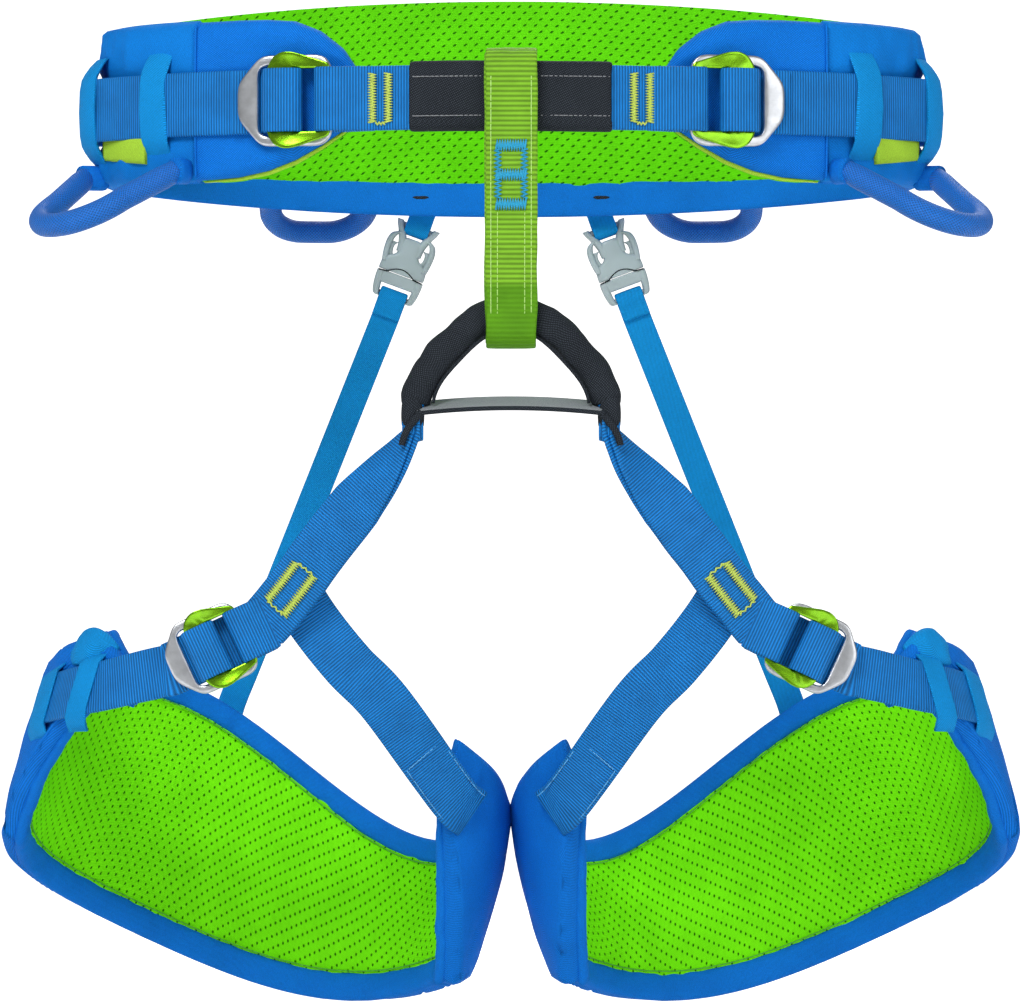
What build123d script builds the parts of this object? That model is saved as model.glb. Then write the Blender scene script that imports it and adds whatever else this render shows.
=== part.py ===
from build123d import *
import os
from math import acos, asin, cos, degrees, pi, radians, sin

# Sport climbing harness: a padded waist belt with two self-locking buckles, a tie-in sleeve,
# a belay loop, a bridge with its cross strap, two padded leg loops with a buckle each, elastic
# rear risers with side-release clips, and four gear loops.
# Millimetres. +X is the wearer's left, +Y the wearer's back, +Z up. The origin is the centre of
# the opening that the waist goes through.

# Waist belt: an ellipse in plan, with layers named by their offset from its centreline.
BELT_HALF_WIDTH = 180.0
BELT_HALF_DEPTH = 76.0
SHELL_OFFSET, SHELL_THICKNESS = 3.8, 1.2
FOAM_THICKNESS = 6.3
LINING_OFFSET, LINING_THICKNESS = -4.0, 1.2
BELT_OUTER = SHELL_OFFSET + SHELL_THICKNESS / 2
BINDING_WIDTH = 9.0
MAIN_END_ANGLE = -41.0
BELT_STEPS = 52
# Each wing runs on from the belt's end to the front: distance from the middle, top and bottom.
WING_STATIONS = [(135.6, 36, -33), (118, 36, -32), (105, 36, -29.5), (93, 35.5, -25),
                 (82, 31, -19), (72, 23.5, -12.5), (65, 14, -6), (61.5, 7, -1)]

# Webbing
WEBBING_THICKNESS = 2.0
WAIST_WEBBING_WIDTH = 28.0
LEG_WEBBING_WIDTH = 23.0
RISER_WIDTH = 13.0
WAIST_WEBBING_OFFSET = 5.9
WAIST_WEBBING_END_X = 101.0
WAIST_WEBBING_LIFT = 6.0

# Waist buckle: where it lies on the belt, from the middle of the front
WAIST_BUCKLE_X = 95.0
LEG_BUCKLE_SCALE = LEG_WEBBING_WIDTH / WAIST_WEBBING_WIDTH + 0.03

# Tie-in webbing and belay loop
TIE_IN_THICKNESS = 4.4
FRONT_Y = -92.4
SLEEVE_HALF_LENGTH = 42.5
BELAY_WIDTH = 22.4
BELAY_STRAND = 3.2
BELAY_TOP_Z, BELAY_TOP_RADIUS = 10.4, 7.2
BELAY_BOTTOM_Z, BELAY_BOTTOM_RADIUS = -97.0, 7.3

# Bridge between the leg loops
BRIDGE_Z = -134.5
BRIDGE_RADIUS = 42.0
BRIDGE_SLEEVE_ANGLE = 72.0
HINGE_Z = -142.0
HINGE_HEAD_RADIUS = 6.0

# Leg loop: a leaning ellipse round the thigh
LEG_CENTRE_X = 113.5
LEG_HALF_WIDTH = 98.4
LEG_HALF_DEPTH = 78.0
LEG_LEAN = Vector(-0.27, 0.15, 1).normalized()
LEG_COVER_OFFSET = 3.4
LEG_FOAM_THICKNESS = 5.5
LEG_LAYER_THICKNESS = 1.2
LEG_STRAP_OFFSET = 5.9
LEG_START_ANGLE, LEG_END_ANGLE = -40, 238
LEG_STEPS = 40

# Gear loops: fixing angles on the belt, height, reach and drop below level
GEAR_TUBE_RADIUS = 5.2
GEAR_OFFSET = 10.5

# Side-release clip, along its own axis from the belt to the riser
CLIP_ORIGIN = Vector(43, 81.5, -45)
CLIP_DIRECTION = Vector(90, 13, -244).normalized()
CLIP_THICKNESS = 7.5

UP = Vector(0, 0, 1)
SIDES = {"left": -1, "right": 1}


def save(piece, label):
    piece.part.label = label
    export_step(piece.part, f"parts/{label}.step")


def mirrored(vector, side):
    return Vector(vector.X * side, vector.Y, vector.Z)


def cut_plane(centre, outward, up):
    """Plane across a strap: local x through its thickness, local y across its width."""
    up = up.normalized()
    through = (outward - up * outward.dot(up)).normalized()
    return Plane(origin=centre, x_dir=through, z_dir=through.cross(up))


def loft_band(stations):
    """Ruled loft for the open BuildPart. Station: centre, outward, up, thickness, width."""
    sections = []
    for centre, outward, up, thickness, width in stations:
        with BuildSketch(cut_plane(centre, outward, up)) as section:
            Rectangle(thickness, width)
        sections.append(section.sketch)
    loft(sections=sections, ruled=True)


def save_band(label, *bands):
    """One node of one or more bands."""
    with BuildPart() as piece:
        for stations in bands:
            loft_band(stations)
    save(piece, label)


def spread(first, last, count):
    return [first + (last - first) * i / (count - 1) for i in range(count)]


# ---------------------------------------------------------------- waist belt geometry

def belt_normal(angle):
    a = radians(angle)
    return Vector(cos(a) / BELT_HALF_WIDTH, sin(a) / BELT_HALF_DEPTH, 0).normalized()


def belt_point(angle, rise=0.0, offset=0.0):
    a = radians(angle)
    centre = Vector(BELT_HALF_WIDTH * cos(a), BELT_HALF_DEPTH * sin(a), rise)
    return centre + belt_normal(angle) * offset


def back_share(angle):
    return max(0.0, sin(radians(angle)))


def belt_top(angle):
    return 37 + 21 * back_share(angle) ** 1.5


def belt_bottom(angle):
    return -33.5 - 7.5 * back_share(angle) ** 2


def belt_station(angle, offset, thickness, bottom, top):
    centre = belt_point(angle, (bottom + top) / 2, offset)
    return centre, belt_normal(angle), UP, thickness, top - bottom


def belt_band(angles, offset, thickness, bottom, top):
    """Band round the belt, its edges given by functions of the angle."""
    return [belt_station(a, offset, thickness, bottom(a), top(a)) for a in angles]


def front_angle(x):
    """Belt angle on the front half, on the +X side, at a distance from the middle."""
    return -degrees(acos(x / BELT_HALF_WIDTH))


def side_angle(angle, side):
    return angle if side > 0 else 180 - angle


MAIN_ANGLES = spread(MAIN_END_ANGLE, 180 - MAIN_END_ANGLE, BELT_STEPS + 1)
WEBBING_START = front_angle(WAIST_WEBBING_END_X)


def waist_belt():
    save_band("belt_outer_shell",
              belt_band(MAIN_ANGLES, SHELL_OFFSET, SHELL_THICKNESS, belt_bottom, belt_top))
    save_band("belt_foam_core", belt_band(MAIN_ANGLES, 0, FOAM_THICKNESS, belt_bottom, belt_top))
    save_band("belt_mesh_lining",
              belt_band(MAIN_ANGLES, LINING_OFFSET, LINING_THICKNESS,
                        lambda a: belt_bottom(a) + BINDING_WIDTH + 0.3, belt_top))
    save_band("belt_lower_binding",
              belt_band(MAIN_ANGLES, LINING_OFFSET, LINING_THICKNESS,
                        belt_bottom, lambda a: belt_bottom(a) + BINDING_WIDTH))


def belt_wing(name, side):
    layers = {"cover": (SHELL_OFFSET, SHELL_THICKNESS), "foam": (0, FOAM_THICKNESS),
              "lining": (LINING_OFFSET, LINING_THICKNESS)}
    for layer, (offset, thickness) in layers.items():
        save_band(f"wing_{layer}_{name}",
                  [belt_station(side_angle(front_angle(x), side), offset, thickness, bottom, top)
                   for x, top, bottom in WING_STATIONS])


def waist_webbing():
    half = WAIST_WEBBING_WIDTH / 2
    angles = [WEBBING_START] + MAIN_ANGLES[1:-1] + [180 - WEBBING_START]
    angles[1:1] = spread(WEBBING_START, MAIN_ANGLES[1], 5)[1:-1]
    angles[-1:-1] = spread(MAIN_ANGLES[-2], 180 - WEBBING_START, 5)[1:-1]
    save_band("waist_webbing",
              belt_band(angles, WAIST_WEBBING_OFFSET, WEBBING_THICKNESS,
                        lambda a: WAIST_WEBBING_LIFT * back_share(a) - half,
                        lambda a: WAIST_WEBBING_LIFT * back_share(a) + half))


def webbing_keepers(name, side):
    """Two cloth loops on the belt that the webbing slides through."""
    with BuildPart() as keepers:
        for middle, half_angle in ((-33.4, 4.9), (-8.0, 5.8)):
            angles = [side_angle(a, side) for a in spread(middle - half_angle, middle + half_angle, 5)]
            wider = [side_angle(a, side)
                     for a in spread(middle - half_angle - 1, middle + half_angle + 1, 5)]
            loft_band(belt_band(angles, BELT_OUTER + 2.0, 3.8, lambda a: -22, lambda a: 22))
            with BuildPart(mode=Mode.PRIVATE) as channel:
                loft_band(belt_band(wider, BELT_OUTER + 0.7, 4.0, lambda a: -14.6, lambda a: 14.6))
            add(channel.part, mode=Mode.SUBTRACT)
    save(keepers, f"webbing_keepers_{name}")


# ---------------------------------------------------------------- buckles

class BuckleSeat:
    """Where a buckle lies: local x from its outer to its inner end, local z away from the body."""

    def __init__(self, origin, along, outward, scale):
        self.outward = (outward - along * outward.dot(along)).normalized()
        self.along = along.normalized()
        self.origin = origin
        self.scale = scale
        self.plane = Plane(origin=origin, x_dir=self.along, z_dir=self.outward)
        self.section = Plane(origin=origin, x_dir=self.along, z_dir=self.along.cross(self.outward))

    def point(self, along, outward):
        return self.origin + (self.along * along + self.outward * outward) * self.scale


def waist_buckle_seat(side):
    angle = side_angle(front_angle(WAIST_BUCKLE_X), side)
    outward = belt_normal(angle)
    along = UP.cross(outward) * side * -1
    return BuckleSeat(belt_point(angle, 0, BELT_OUTER), along, outward, 1.0)


def buckle_frame(label, seat):
    """Metal frame: an octagonal ring with one wide window."""
    k = seat.scale
    outline = [(-21, -8), (-11, -19.3), (17, -19.3), (20.8, -15), (20.8, 15), (17, 19.3),
               (-11, 19.3), (-21, 8)]
    with BuildPart() as frame:
        with BuildSketch(seat.plane.offset(3.2 * k)) as face:
            Polygon(*[(x * k, y * k) for x, y in outline], align=None)
            fillet(face.vertices(), 3 * k)
            with Locations((2.5 * k, 0)):
                RectangleRounded(29 * k, 30 * k, 2 * k, mode=Mode.SUBTRACT)
        extrude(amount=2.5 * k)
    save(frame, label)


def buckle_slider(label, seat):
    """Locking plate: it lies on the frame and tips about its inner bar to let the webbing slip."""
    k = seat.scale
    outline = [(-7, -14), (-1, -20.5), (4, -20.5), (20.8, -15.5), (20.8, 15.5), (4, 20.5),
               (-1, 20.5), (-7, 14)]
    with BuildPart() as slider:
        with BuildSketch(seat.plane.offset(6.6 * k)) as face:
            Polygon(*[(x * k, y * k) for x, y in outline], align=None)
            fillet(face.vertices(), 1.8 * k)
            with Locations((11.1 * k, 0)):
                RectangleRounded(12.2 * k, 29.2 * k, 1.5 * k, mode=Mode.SUBTRACT)
        extrude(amount=1.8 * k)
    save(slider, label)


def webbing_eye(seat, taper_end):
    """For the open BuildPart: webbing folded round both inner bars and sewn to itself."""
    k = seat.scale
    with BuildSketch(seat.section) as profile:
        with Locations((19.1 * k, 5.85 * k)):
            RectangleRounded(9.8 * k, 10.9 * k, 3 * k)
        with BuildLine():
            Polyline((22 * k, 0.6 * k), (22 * k, 11.1 * k), (taper_end * k, 8.05 * k),
                     (taper_end * k, 3.65 * k), close=True)
        make_face()
        with Locations((19 * k, 5.85 * k)):
            RectangleRounded(5.6 * k, 6.9 * k, 1.2 * k, mode=Mode.SUBTRACT)
        with BuildLine():
            Polyline((21.7 * k, 2.9 * k), (21.7 * k, 8.8 * k), ((taper_end - 5) * k, 5.85 * k),
                     close=True)
        make_face(mode=Mode.SUBTRACT)
    extrude(profile.sketch, amount=14 * k, both=True)


# ---------------------------------------------------------------- tie-in point and belay loop

TIE_IN_END = waist_buckle_seat(1).point(40, 5.85)
TIE_IN_SAGITTA = TIE_IN_END.Y - FRONT_Y
TIE_IN_RADIUS = (TIE_IN_END.X ** 2 + TIE_IN_SAGITTA ** 2) / (2 * TIE_IN_SAGITTA)
TIE_IN_CENTRE = (0, FRONT_Y + TIE_IN_RADIUS)


def front_arc(half_length, thickness):
    """For the open sketch: a stretch of the tie-in webbing seen from above."""
    half_angle = degrees(asin(half_length / TIE_IN_RADIUS))
    with BuildLine() as arc:
        CenterArc(TIE_IN_CENTRE, TIE_IN_RADIUS, 270 - half_angle, 2 * half_angle)
    trace(arc.edges(), line_width=thickness)


def tie_in_webbing():
    with BuildPart() as webbing:
        with BuildSketch():
            front_arc(TIE_IN_END.X + 0.3, TIE_IN_THICKNESS)
        extrude(amount=WAIST_WEBBING_WIDTH / 2, both=True)
        for side in SIDES.values():
            webbing_eye(waist_buckle_seat(side), 40)
    save(webbing, "tie_in_webbing")


def tie_in_sleeve():
    with BuildPart() as sleeve:
        with BuildSketch():
            front_arc(SLEEVE_HALF_LENGTH, 7.6)
        extrude(amount=14.5, both=True)
        with BuildSketch():
            front_arc(SLEEVE_HALF_LENGTH + 1, TIE_IN_THICKNESS + 0.2)
        extrude(amount=WAIST_WEBBING_WIDTH / 2 + 0.1, both=True, mode=Mode.SUBTRACT)
    save(sleeve, "tie_in_sleeve")


def belay_outline(margin, mode):
    """For the open sketch: the loop seen from the side, as a hull of its two round ends."""
    with BuildSketch(mode=Mode.PRIVATE) as ends:
        with Locations((FRONT_Y, BELAY_TOP_Z)):
            Circle(BELAY_TOP_RADIUS + margin)
        with Locations((FRONT_Y, BELAY_BOTTOM_Z)):
            Circle(BELAY_BOTTOM_RADIUS + margin)
    make_hull(ends.edges(), mode=mode)


def belay_loop():
    with BuildPart() as loop:
        with BuildSketch(Plane.YZ):
            belay_outline(BELAY_STRAND, Mode.ADD)
            belay_outline(0, Mode.SUBTRACT)
        extrude(amount=BELAY_WIDTH / 2, both=True)
    save(loop, "belay_loop")


# ---------------------------------------------------------------- bridge

def bridge_arc(radial, depth, half_angle, rounding):
    """For the open BuildPart: a stretch of the arch, turned about its own centre."""
    a = radians(-half_angle)
    centre = Vector(0, FRONT_Y, BRIDGE_Z)
    start = centre + Vector(sin(a), 0, cos(a)) * BRIDGE_RADIUS
    with BuildSketch(Plane(origin=start, x_dir=(0, 1, 0), z_dir=(cos(a), 0, -sin(a)))) as section:
        RectangleRounded(depth, radial, rounding)
    revolve(section.sketch, axis=Axis(centre, (0, 1, 0)), revolution_arc=2 * half_angle)


def bridge():
    with BuildPart() as webbing:
        bridge_arc(7.0, 10.0, 90, 1.0)
    save(webbing, "bridge_webbing")

    with BuildPart() as sleeve:
        bridge_arc(15.0, 12.0, BRIDGE_SLEEVE_ANGLE, 4.0)
        with BuildPart(mode=Mode.PRIVATE) as bore:
            bridge_arc(7.4, 10.4, BRIDGE_SLEEVE_ANGLE + 5, 1.0)
        add(bore.part, mode=Mode.SUBTRACT)
    save(sleeve, "bridge_sleeve")

    collar_low, collar_high = BRIDGE_Z - 1, BRIDGE_Z + 7
    with BuildPart() as strap:
        with BuildSketch(Plane.XZ.offset(-FRONT_Y - 8)):
            with BuildLine():
                ThreePointArc((-37.5, -132.6), (0, -130.6), (37.5, -132.6))
            trace(line_width=1.6)
        extrude(amount=16)
        for side in SIDES.values():
            with Locations((side * BRIDGE_RADIUS, FRONT_Y, (collar_low + collar_high) / 2)):
                Box(12, 12.6, collar_high - collar_low)
                Box(8.6, 10.4, 20, mode=Mode.SUBTRACT)
    save(strap, "bridge_cross_strap")


# ---------------------------------------------------------------- leg loops

def leg_normal(angle):
    """Away from the thigh, square to the lean that the pad's width follows."""
    a = radians(angle)
    level = Vector(-cos(a) / LEG_HALF_WIDTH, sin(a) / LEG_HALF_DEPTH, 0)
    return (level - LEG_LEAN * level.dot(LEG_LEAN)).normalized()


def leg_point(angle, rise, offset):
    """On the wearer's left leg (+X): 0 at the crotch, 90 at the back, 180 at the hip."""
    a = radians(angle)
    height = -317 - 37 * cos(a) - 25 * sin(a) + 6 * cos(3 * a)
    centre = Vector(LEG_CENTRE_X - LEG_HALF_WIDTH * cos(a), LEG_HALF_DEPTH * sin(a), height)
    return centre + LEG_LEAN * rise + leg_normal(angle) * offset


def leg_pad_width(angle):
    a = radians(angle)
    return 96.1 - 2 * cos(a) - 7.2 * sin(a) - 14.1 * cos(2 * a) - 17.6 * sin(2 * a)


def leg_top(angle):
    """Upper edge of the pad, which dips at its outer front end."""
    return leg_pad_width(angle) / 2 - max(0.0, angle - 222) * 1.75


def leg_bottom(angle):
    """Lower edge of the pad, which climbs to a blunt tip at both ends."""
    full = -leg_pad_width(angle) / 2
    if angle < -12:
        share = (-12 - angle) / (-12 - LEG_START_ANGLE)
        return full + share * (leg_top(angle) - 25 - full)
    if angle > 185:
        share = (angle - 185) / (LEG_END_ANGLE - 185)
        return full + share * (leg_top(angle) - 16 - full)
    return full


LEG_ANGLES = spread(LEG_START_ANGLE, LEG_END_ANGLE, LEG_STEPS + 1)


def leg_band(side, angles, offset, thickness, bottom, top):
    """Band round the thigh between two edges, given as functions of the angle."""
    return [(mirrored(leg_point(a, (bottom(a) + top(a)) / 2, offset), side),
             mirrored(leg_normal(a), side), mirrored(LEG_LEAN, side), thickness, top(a) - bottom(a))
            for a in angles]


def leg_station(side, angle, rise, width, offset=LEG_STRAP_OFFSET, thickness=WEBBING_THICKNESS):
    return (mirrored(leg_point(angle, rise, offset), side), mirrored(leg_normal(angle), side),
            mirrored(LEG_LEAN, side), thickness, width)


def leg_pad(name, side):
    outer, inner = LEG_COVER_OFFSET, -LEG_COVER_OFFSET
    thin = LEG_LAYER_THICKNESS
    edge = BINDING_WIDTH
    save_band(f"leg_cover_{name}", leg_band(side, LEG_ANGLES, outer, thin, leg_bottom, leg_top))
    save_band(f"leg_foam_{name}",
              leg_band(side, LEG_ANGLES, 0, LEG_FOAM_THICKNESS, leg_bottom, leg_top))
    lined = LEG_ANGLES[1:-1]
    save_band(f"leg_lining_{name}",
              leg_band(side, lined, inner, thin,
                       lambda a: min(leg_bottom(a) + edge + 0.3, leg_top(a) - edge - 2),
                       lambda a: leg_top(a) - edge - 0.6))
    narrow = 4.0
    save_band(f"leg_binding_{name}",
              leg_band(side, lined, inner, thin, leg_bottom,
                       lambda a: min(leg_bottom(a) + edge, leg_top(a) - edge - 2.5)
                       if leg_top(a) - leg_bottom(a) > 2 * edge + 4 else leg_bottom(a) + narrow),
              leg_band(side, lined, inner, thin,
                       lambda a: leg_top(a) - edge
                       if leg_top(a) - leg_bottom(a) > 2 * edge + 4 else leg_top(a) - narrow,
                       leg_top))


def leg_buckle_seat(side):
    tilt = radians(25)
    along = Vector(-side * cos(tilt), 0, sin(tilt))
    return BuckleSeat(Vector(side * 130, -74, -237.5), along, Vector(side * 0.2, -0.98, 0),
                      LEG_BUCKLE_SCALE)


def seat_station(seat, along, outward, width):
    return (seat.point(along, outward), seat.outward, seat.along.cross(seat.outward),
            WEBBING_THICKNESS, width)


FRONT_STRAP_END = leg_buckle_seat(1).point(30, 5.85)
# Middle line of the front strap, from the bridge outwards, with its thickness and width there
FRONT_STRAP = [((42, -92.4, -142), 7.0, 10.0), ((46.5, -92.2, -149.5), 6.4, 13.0),
               ((55, -91.2, -161), 5.6, 17.0), ((69, -88.8, -178), 4.8, 21.5),
               ((83, -85.6, -196), 4.2, 23.5), ((95, -82.2, -212), 4.0, 24.0),
               (tuple(FRONT_STRAP_END), 4.0, 23.8)]


def front_strap(name, side):
    """Two layers of webbing, edge on at the bridge and turning flat towards the buckle."""
    seat = leg_buckle_seat(side)
    flat_up = seat.along.cross(seat.outward)
    if flat_up.Z < 0:
        flat_up = flat_up * -1
    last = len(FRONT_STRAP) - 1
    with BuildPart() as strap:
        stations = []
        for i, (centre, thickness, width) in enumerate(FRONT_STRAP):
            turn = min(1.0, i / (last - 2))
            along = seat.along * -1
            edge_up = Vector(0, 1, 0) * (1 - turn) + flat_up * turn
            edge_up = edge_up.normalized()
            if i == 0:
                along = Vector(0, 0, -1)
            outward = edge_up.cross(along) * side
            stations.append((mirrored(Vector(*centre), side), outward, edge_up, thickness, width))
        loft_band(stations)
        webbing_eye(seat, 30.2)
        head = Plane(origin=(side * BRIDGE_RADIUS, FRONT_Y, HINGE_Z), z_dir=(1, 0, 0))
        with BuildSketch(head):
            Circle(HINGE_HEAD_RADIUS)
        extrude(amount=4, both=True)
    save(strap, f"front_strap_{name}")


def adjuster_strap(name, side):
    seat = leg_buckle_seat(side)
    width = LEG_WEBBING_WIDTH
    save_band(f"adjuster_strap_{name}",
              [leg_station(side, angle, rise, width)
               for angle, rise in ((200, 14), (208, 13), (216, 12.6), (223, 13.4), (230, 15.5),
                                   (238, 20.5), (245, 26.6))]
              + [outward_first(seat_station(seat, -21, 0.6, width)),
                 outward_first(seat_station(seat, -4, 1.4, width))])


def outward_first(station):
    """The same station with its width axis pointing up, as the leg's own stations have it."""
    centre, outward, up, thickness, width = station
    if up.Z < 0:
        up = up * -1
    return centre, outward, up, thickness, width


def crotch_strap(name, side):
    """From behind the front strap down to the pad's inner front corner."""
    width = LEG_WEBBING_WIDTH
    fall = mirrored(Vector(-0.62, 0, -0.78), side)
    outward = Vector(0, -1, 0)
    across = fall.cross(outward).normalized()
    if across.Z < 0:
        across = across * -1
    free = [((92, -76.4, -214), outward, across), ((72, -76, -241), outward, across),
            ((52, -70, -262), mirrored(Vector(-0.25, -0.97, 0), side), across)]
    save_band(f"crotch_strap_{name}",
              [(mirrored(Vector(*centre), side), out, up, WEBBING_THICKNESS, width)
               for centre, out, up in free]
              + [leg_station(side, -44, 35, width), leg_station(side, -32, 28, width - 2)])


def strap_keepers(name, side):
    """Cloth band over the adjuster strap, the pocket for its tail and a rolled corner above."""
    with BuildPart() as keepers:
        for first, last, rise in ((219, 226, 13.4), (199, 209, 13.4)):
            angles = spread(first, last, 4)
            wider = spread(first - 1, last + 1, 4)
            loft_band([leg_station(side, a, rise, 35, 6.1, 3.8) for a in angles])
            with BuildPart(mode=Mode.PRIVATE) as channel:
                loft_band([leg_station(side, a, rise, 26, 4.9, 4.4) for a in wider])
            add(channel.part, mode=Mode.SUBTRACT)
        loft_band([leg_station(side, angle, rise, width, 6.4, 4)
                   for angle, rise, width in ((213, 36.5, 6), (217, 37.5, 10), (222, 37.5, 11),
                                              (226.5, 36, 7))])
    save(keepers, f"strap_keepers_{name}")


# ---------------------------------------------------------------- risers and clips

def clip_plane(side):
    """Local x along the clip from the belt down, local z away from the wearer."""
    direction = mirrored(CLIP_DIRECTION, side)
    outward = Vector(0, 1, 0)
    outward = (outward - direction * outward.dot(direction)).normalized()
    return Plane(origin=mirrored(CLIP_ORIGIN, side), x_dir=direction, z_dir=outward)


def clip_section(side):
    """Lengthwise cut through the clip: local x along it, local y away from the wearer."""
    plane = clip_plane(side)
    return Plane(origin=plane.origin, x_dir=plane.x_dir, z_dir=plane.x_dir.cross(plane.z_dir))


def centred_box(plane, x_range, half_y, half_z, mode=Mode.ADD):
    """For the open BuildPart: a block on a plane, between two stations along its local x."""
    with BuildSketch(plane) as face:
        with Locations(((x_range[0] + x_range[1]) / 2, 0)):
            Rectangle(x_range[1] - x_range[0], 2 * half_y)
    extrude(face.sketch, amount=half_z, both=True, mode=mode)


def riser_anchor(name, side):
    """Short webbing sewn behind the belt and folded round the clip's top bar."""
    with BuildPart() as anchor:
        with BuildSketch(clip_section(side)):
            with Locations((1.5, 0)):
                RectangleRounded(7.6, 8.0, 2.4)
            with Locations((-11, 0)):
                Rectangle(20, 2)
            with Locations((1.5, 0)):
                RectangleRounded(4.0, 4.6, 1.0, mode=Mode.SUBTRACT)
        extrude(amount=6, both=True)
    save(anchor, f"riser_anchor_{name}")


def clip_socket(name, side):
    plane = clip_plane(side)
    outline = [(0, -8.4), (6, -8.4), (9, -10.4), (17, -10.4), (24, -11.2), (24, 11.2), (17, 10.4),
               (9, 10.4), (6, 8.4), (0, 8.4)]
    with BuildPart() as socket:
        with BuildSketch(plane) as face:
            Polygon(*outline, align=None)
            fillet(face.vertices(), 1.2)
            with Locations((5.1, 0)):
                Rectangle(4.2, 13.2, mode=Mode.SUBTRACT)
        extrude(amount=CLIP_THICKNESS / 2, both=True)
        with BuildSketch(plane):
            with Locations((1.5, 0)):
                Rectangle(3.0, 13.2)
        extrude(amount=CLIP_THICKNESS / 2, both=True, mode=Mode.SUBTRACT)
        centred_box(plane, (0, 3.0), 7, 1.9)
        centred_box(plane, (9.5, 24.5), 9.3, 2.0, Mode.SUBTRACT)
        centred_box(plane, (9.5, 17.5), 14, 2.0, Mode.SUBTRACT)
    save(socket, f"riser_clip_socket_{name}")


def clip_plug(name, side):
    plane = clip_plane(side)
    with BuildPart() as plug:
        with BuildSketch(plane) as face:
            with Locations((30.4, 0)):
                Rectangle(12, 22)
            fillet(face.vertices(), 2.5)
            with Locations((32.2, 0)):
                Rectangle(8.4, 14.6, mode=Mode.SUBTRACT)
        extrude(amount=CLIP_THICKNESS / 2, both=True)
        centred_box(plane, (33.4, 36.4), 8, 1.5)
        centred_box(plane, (14, 25), 2.6, 1.6)
    save(plug, f"riser_clip_plug_{name}")


def clip_prong(name, side, edge_name, edge):
    """Springy arm with the thumb pad that shows in the socket's side window."""
    outline = [(10, 5.6), (10, 8.2), (10.6, 10.9), (15.6, 10.9), (17, 8.6), (23.9, 8.6), (23.9, 5.6)]
    with BuildPart() as prong:
        with BuildSketch(clip_plane(side)):
            Polygon(*[(x, y * edge) for x, y in outline], align=None)
        extrude(amount=1.6, both=True)
    save(prong, f"clip_prong_{name}_{edge_name}")


def riser_strap(name, side):
    """Elastic strap from the clip's lower bar to the back of the leg pad."""
    plane = clip_plane(side)
    start = plane.origin + plane.x_dir * 38.2
    across = plane.z_dir.cross(plane.x_dir)
    if across.Z < 0:
        across = across * -1
    with BuildPart() as strap:
        with BuildSketch(clip_section(side)):
            with Locations((34.9, 0)):
                RectangleRounded(7.0, 7.0, 2.2)
                RectangleRounded(3.8, 3.8, 0.8, mode=Mode.SUBTRACT)
        extrude(amount=RISER_WIDTH / 2, both=True)
        mid = start + (mirrored(leg_point(108, 62, 8.5), side) - start) * 0.5
        loft_band([(start - plane.x_dir * 0.6, plane.z_dir, across, 2, RISER_WIDTH),
                   (mid, plane.z_dir, across, 2, RISER_WIDTH),
                   leg_station(side, 108, 60, RISER_WIDTH, 8.0),
                   leg_station(side, 108, 36, RISER_WIDTH, 6.0)])
    save(strap, f"riser_strap_{name}")


# ---------------------------------------------------------------- gear loops

def gear_loop(label, side, first_angle, last_angle, height, reach, drop):
    """Tube with round ends, which hangs out from the belt and swings about its two fixings."""
    first = mirrored(belt_point(first_angle, height, GEAR_OFFSET), side)
    last = mirrored(belt_point(last_angle, height, GEAR_OFFSET), side)
    span = last - first
    outward = mirrored(belt_normal(first_angle) + belt_normal(last_angle), side)
    outward = (outward - span * (outward.dot(span) / span.dot(span))).normalized()
    fall = outward * cos(radians(drop)) - UP * sin(radians(drop))
    width = span.length
    with BuildPart() as loop:
        with BuildLine(Plane(origin=first, x_dir=span, z_dir=span.cross(fall))) as route:
            FilletPolyline((0, 0), (2, reach), (width - 2, reach), (width, 0), radius=reach * 0.48)
        path = route.wires()[0]
        with BuildSketch(Plane(origin=path @ 0, z_dir=path % 0)):
            Circle(GEAR_TUBE_RADIUS)
        sweep(path=path)
        with Locations(first, last):
            Sphere(GEAR_TUBE_RADIUS)
    save(loop, label)
    length = path.length
    ideal = pi * GEAR_TUBE_RADIUS ** 2 * length
    print(label, "centreline", round(length, 1), "mm, volume ratio",
          round(loop.part.volume / ideal, 3), "fixings", first, last)


# ---------------------------------------------------------------- assembly

os.makedirs("parts", exist_ok=True)
waist_belt()
waist_webbing()
tie_in_webbing()
tie_in_sleeve()
belay_loop()
bridge()
for side_name, side_sign in SIDES.items():
    belt_wing(side_name, side_sign)
    webbing_keepers(side_name, side_sign)
    buckle_frame(f"waist_buckle_frame_{side_name}", waist_buckle_seat(side_sign))
    buckle_slider(f"waist_buckle_slider_{side_name}", waist_buckle_seat(side_sign))
    leg_pad(side_name, side_sign)
    buckle_frame(f"leg_buckle_frame_{side_name}", leg_buckle_seat(side_sign))
    buckle_slider(f"leg_buckle_slider_{side_name}", leg_buckle_seat(side_sign))
    front_strap(side_name, side_sign)
    adjuster_strap(side_name, side_sign)
    crotch_strap(side_name, side_sign)
    strap_keepers(side_name, side_sign)
    riser_anchor(side_name, side_sign)
    clip_socket(side_name, side_sign)
    clip_plug(side_name, side_sign)
    for prong_name, prong_edge in (("inner", side_sign), ("outer", -side_sign)):
        clip_prong(side_name, side_sign, prong_name, prong_edge)
    riser_strap(side_name, side_sign)
    gear_loop(f"gear_loop_front_{side_name}", side_sign, -38.5, -6, -29, 52, 28)
    gear_loop(f"gear_loop_rear_{side_name}", side_sign, 50.7, 72.5, -24, 38, 38)
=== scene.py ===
from math import acos, cos, degrees, pi, radians, sin

import bmesh
import bpy
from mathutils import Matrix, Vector, noise


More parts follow.
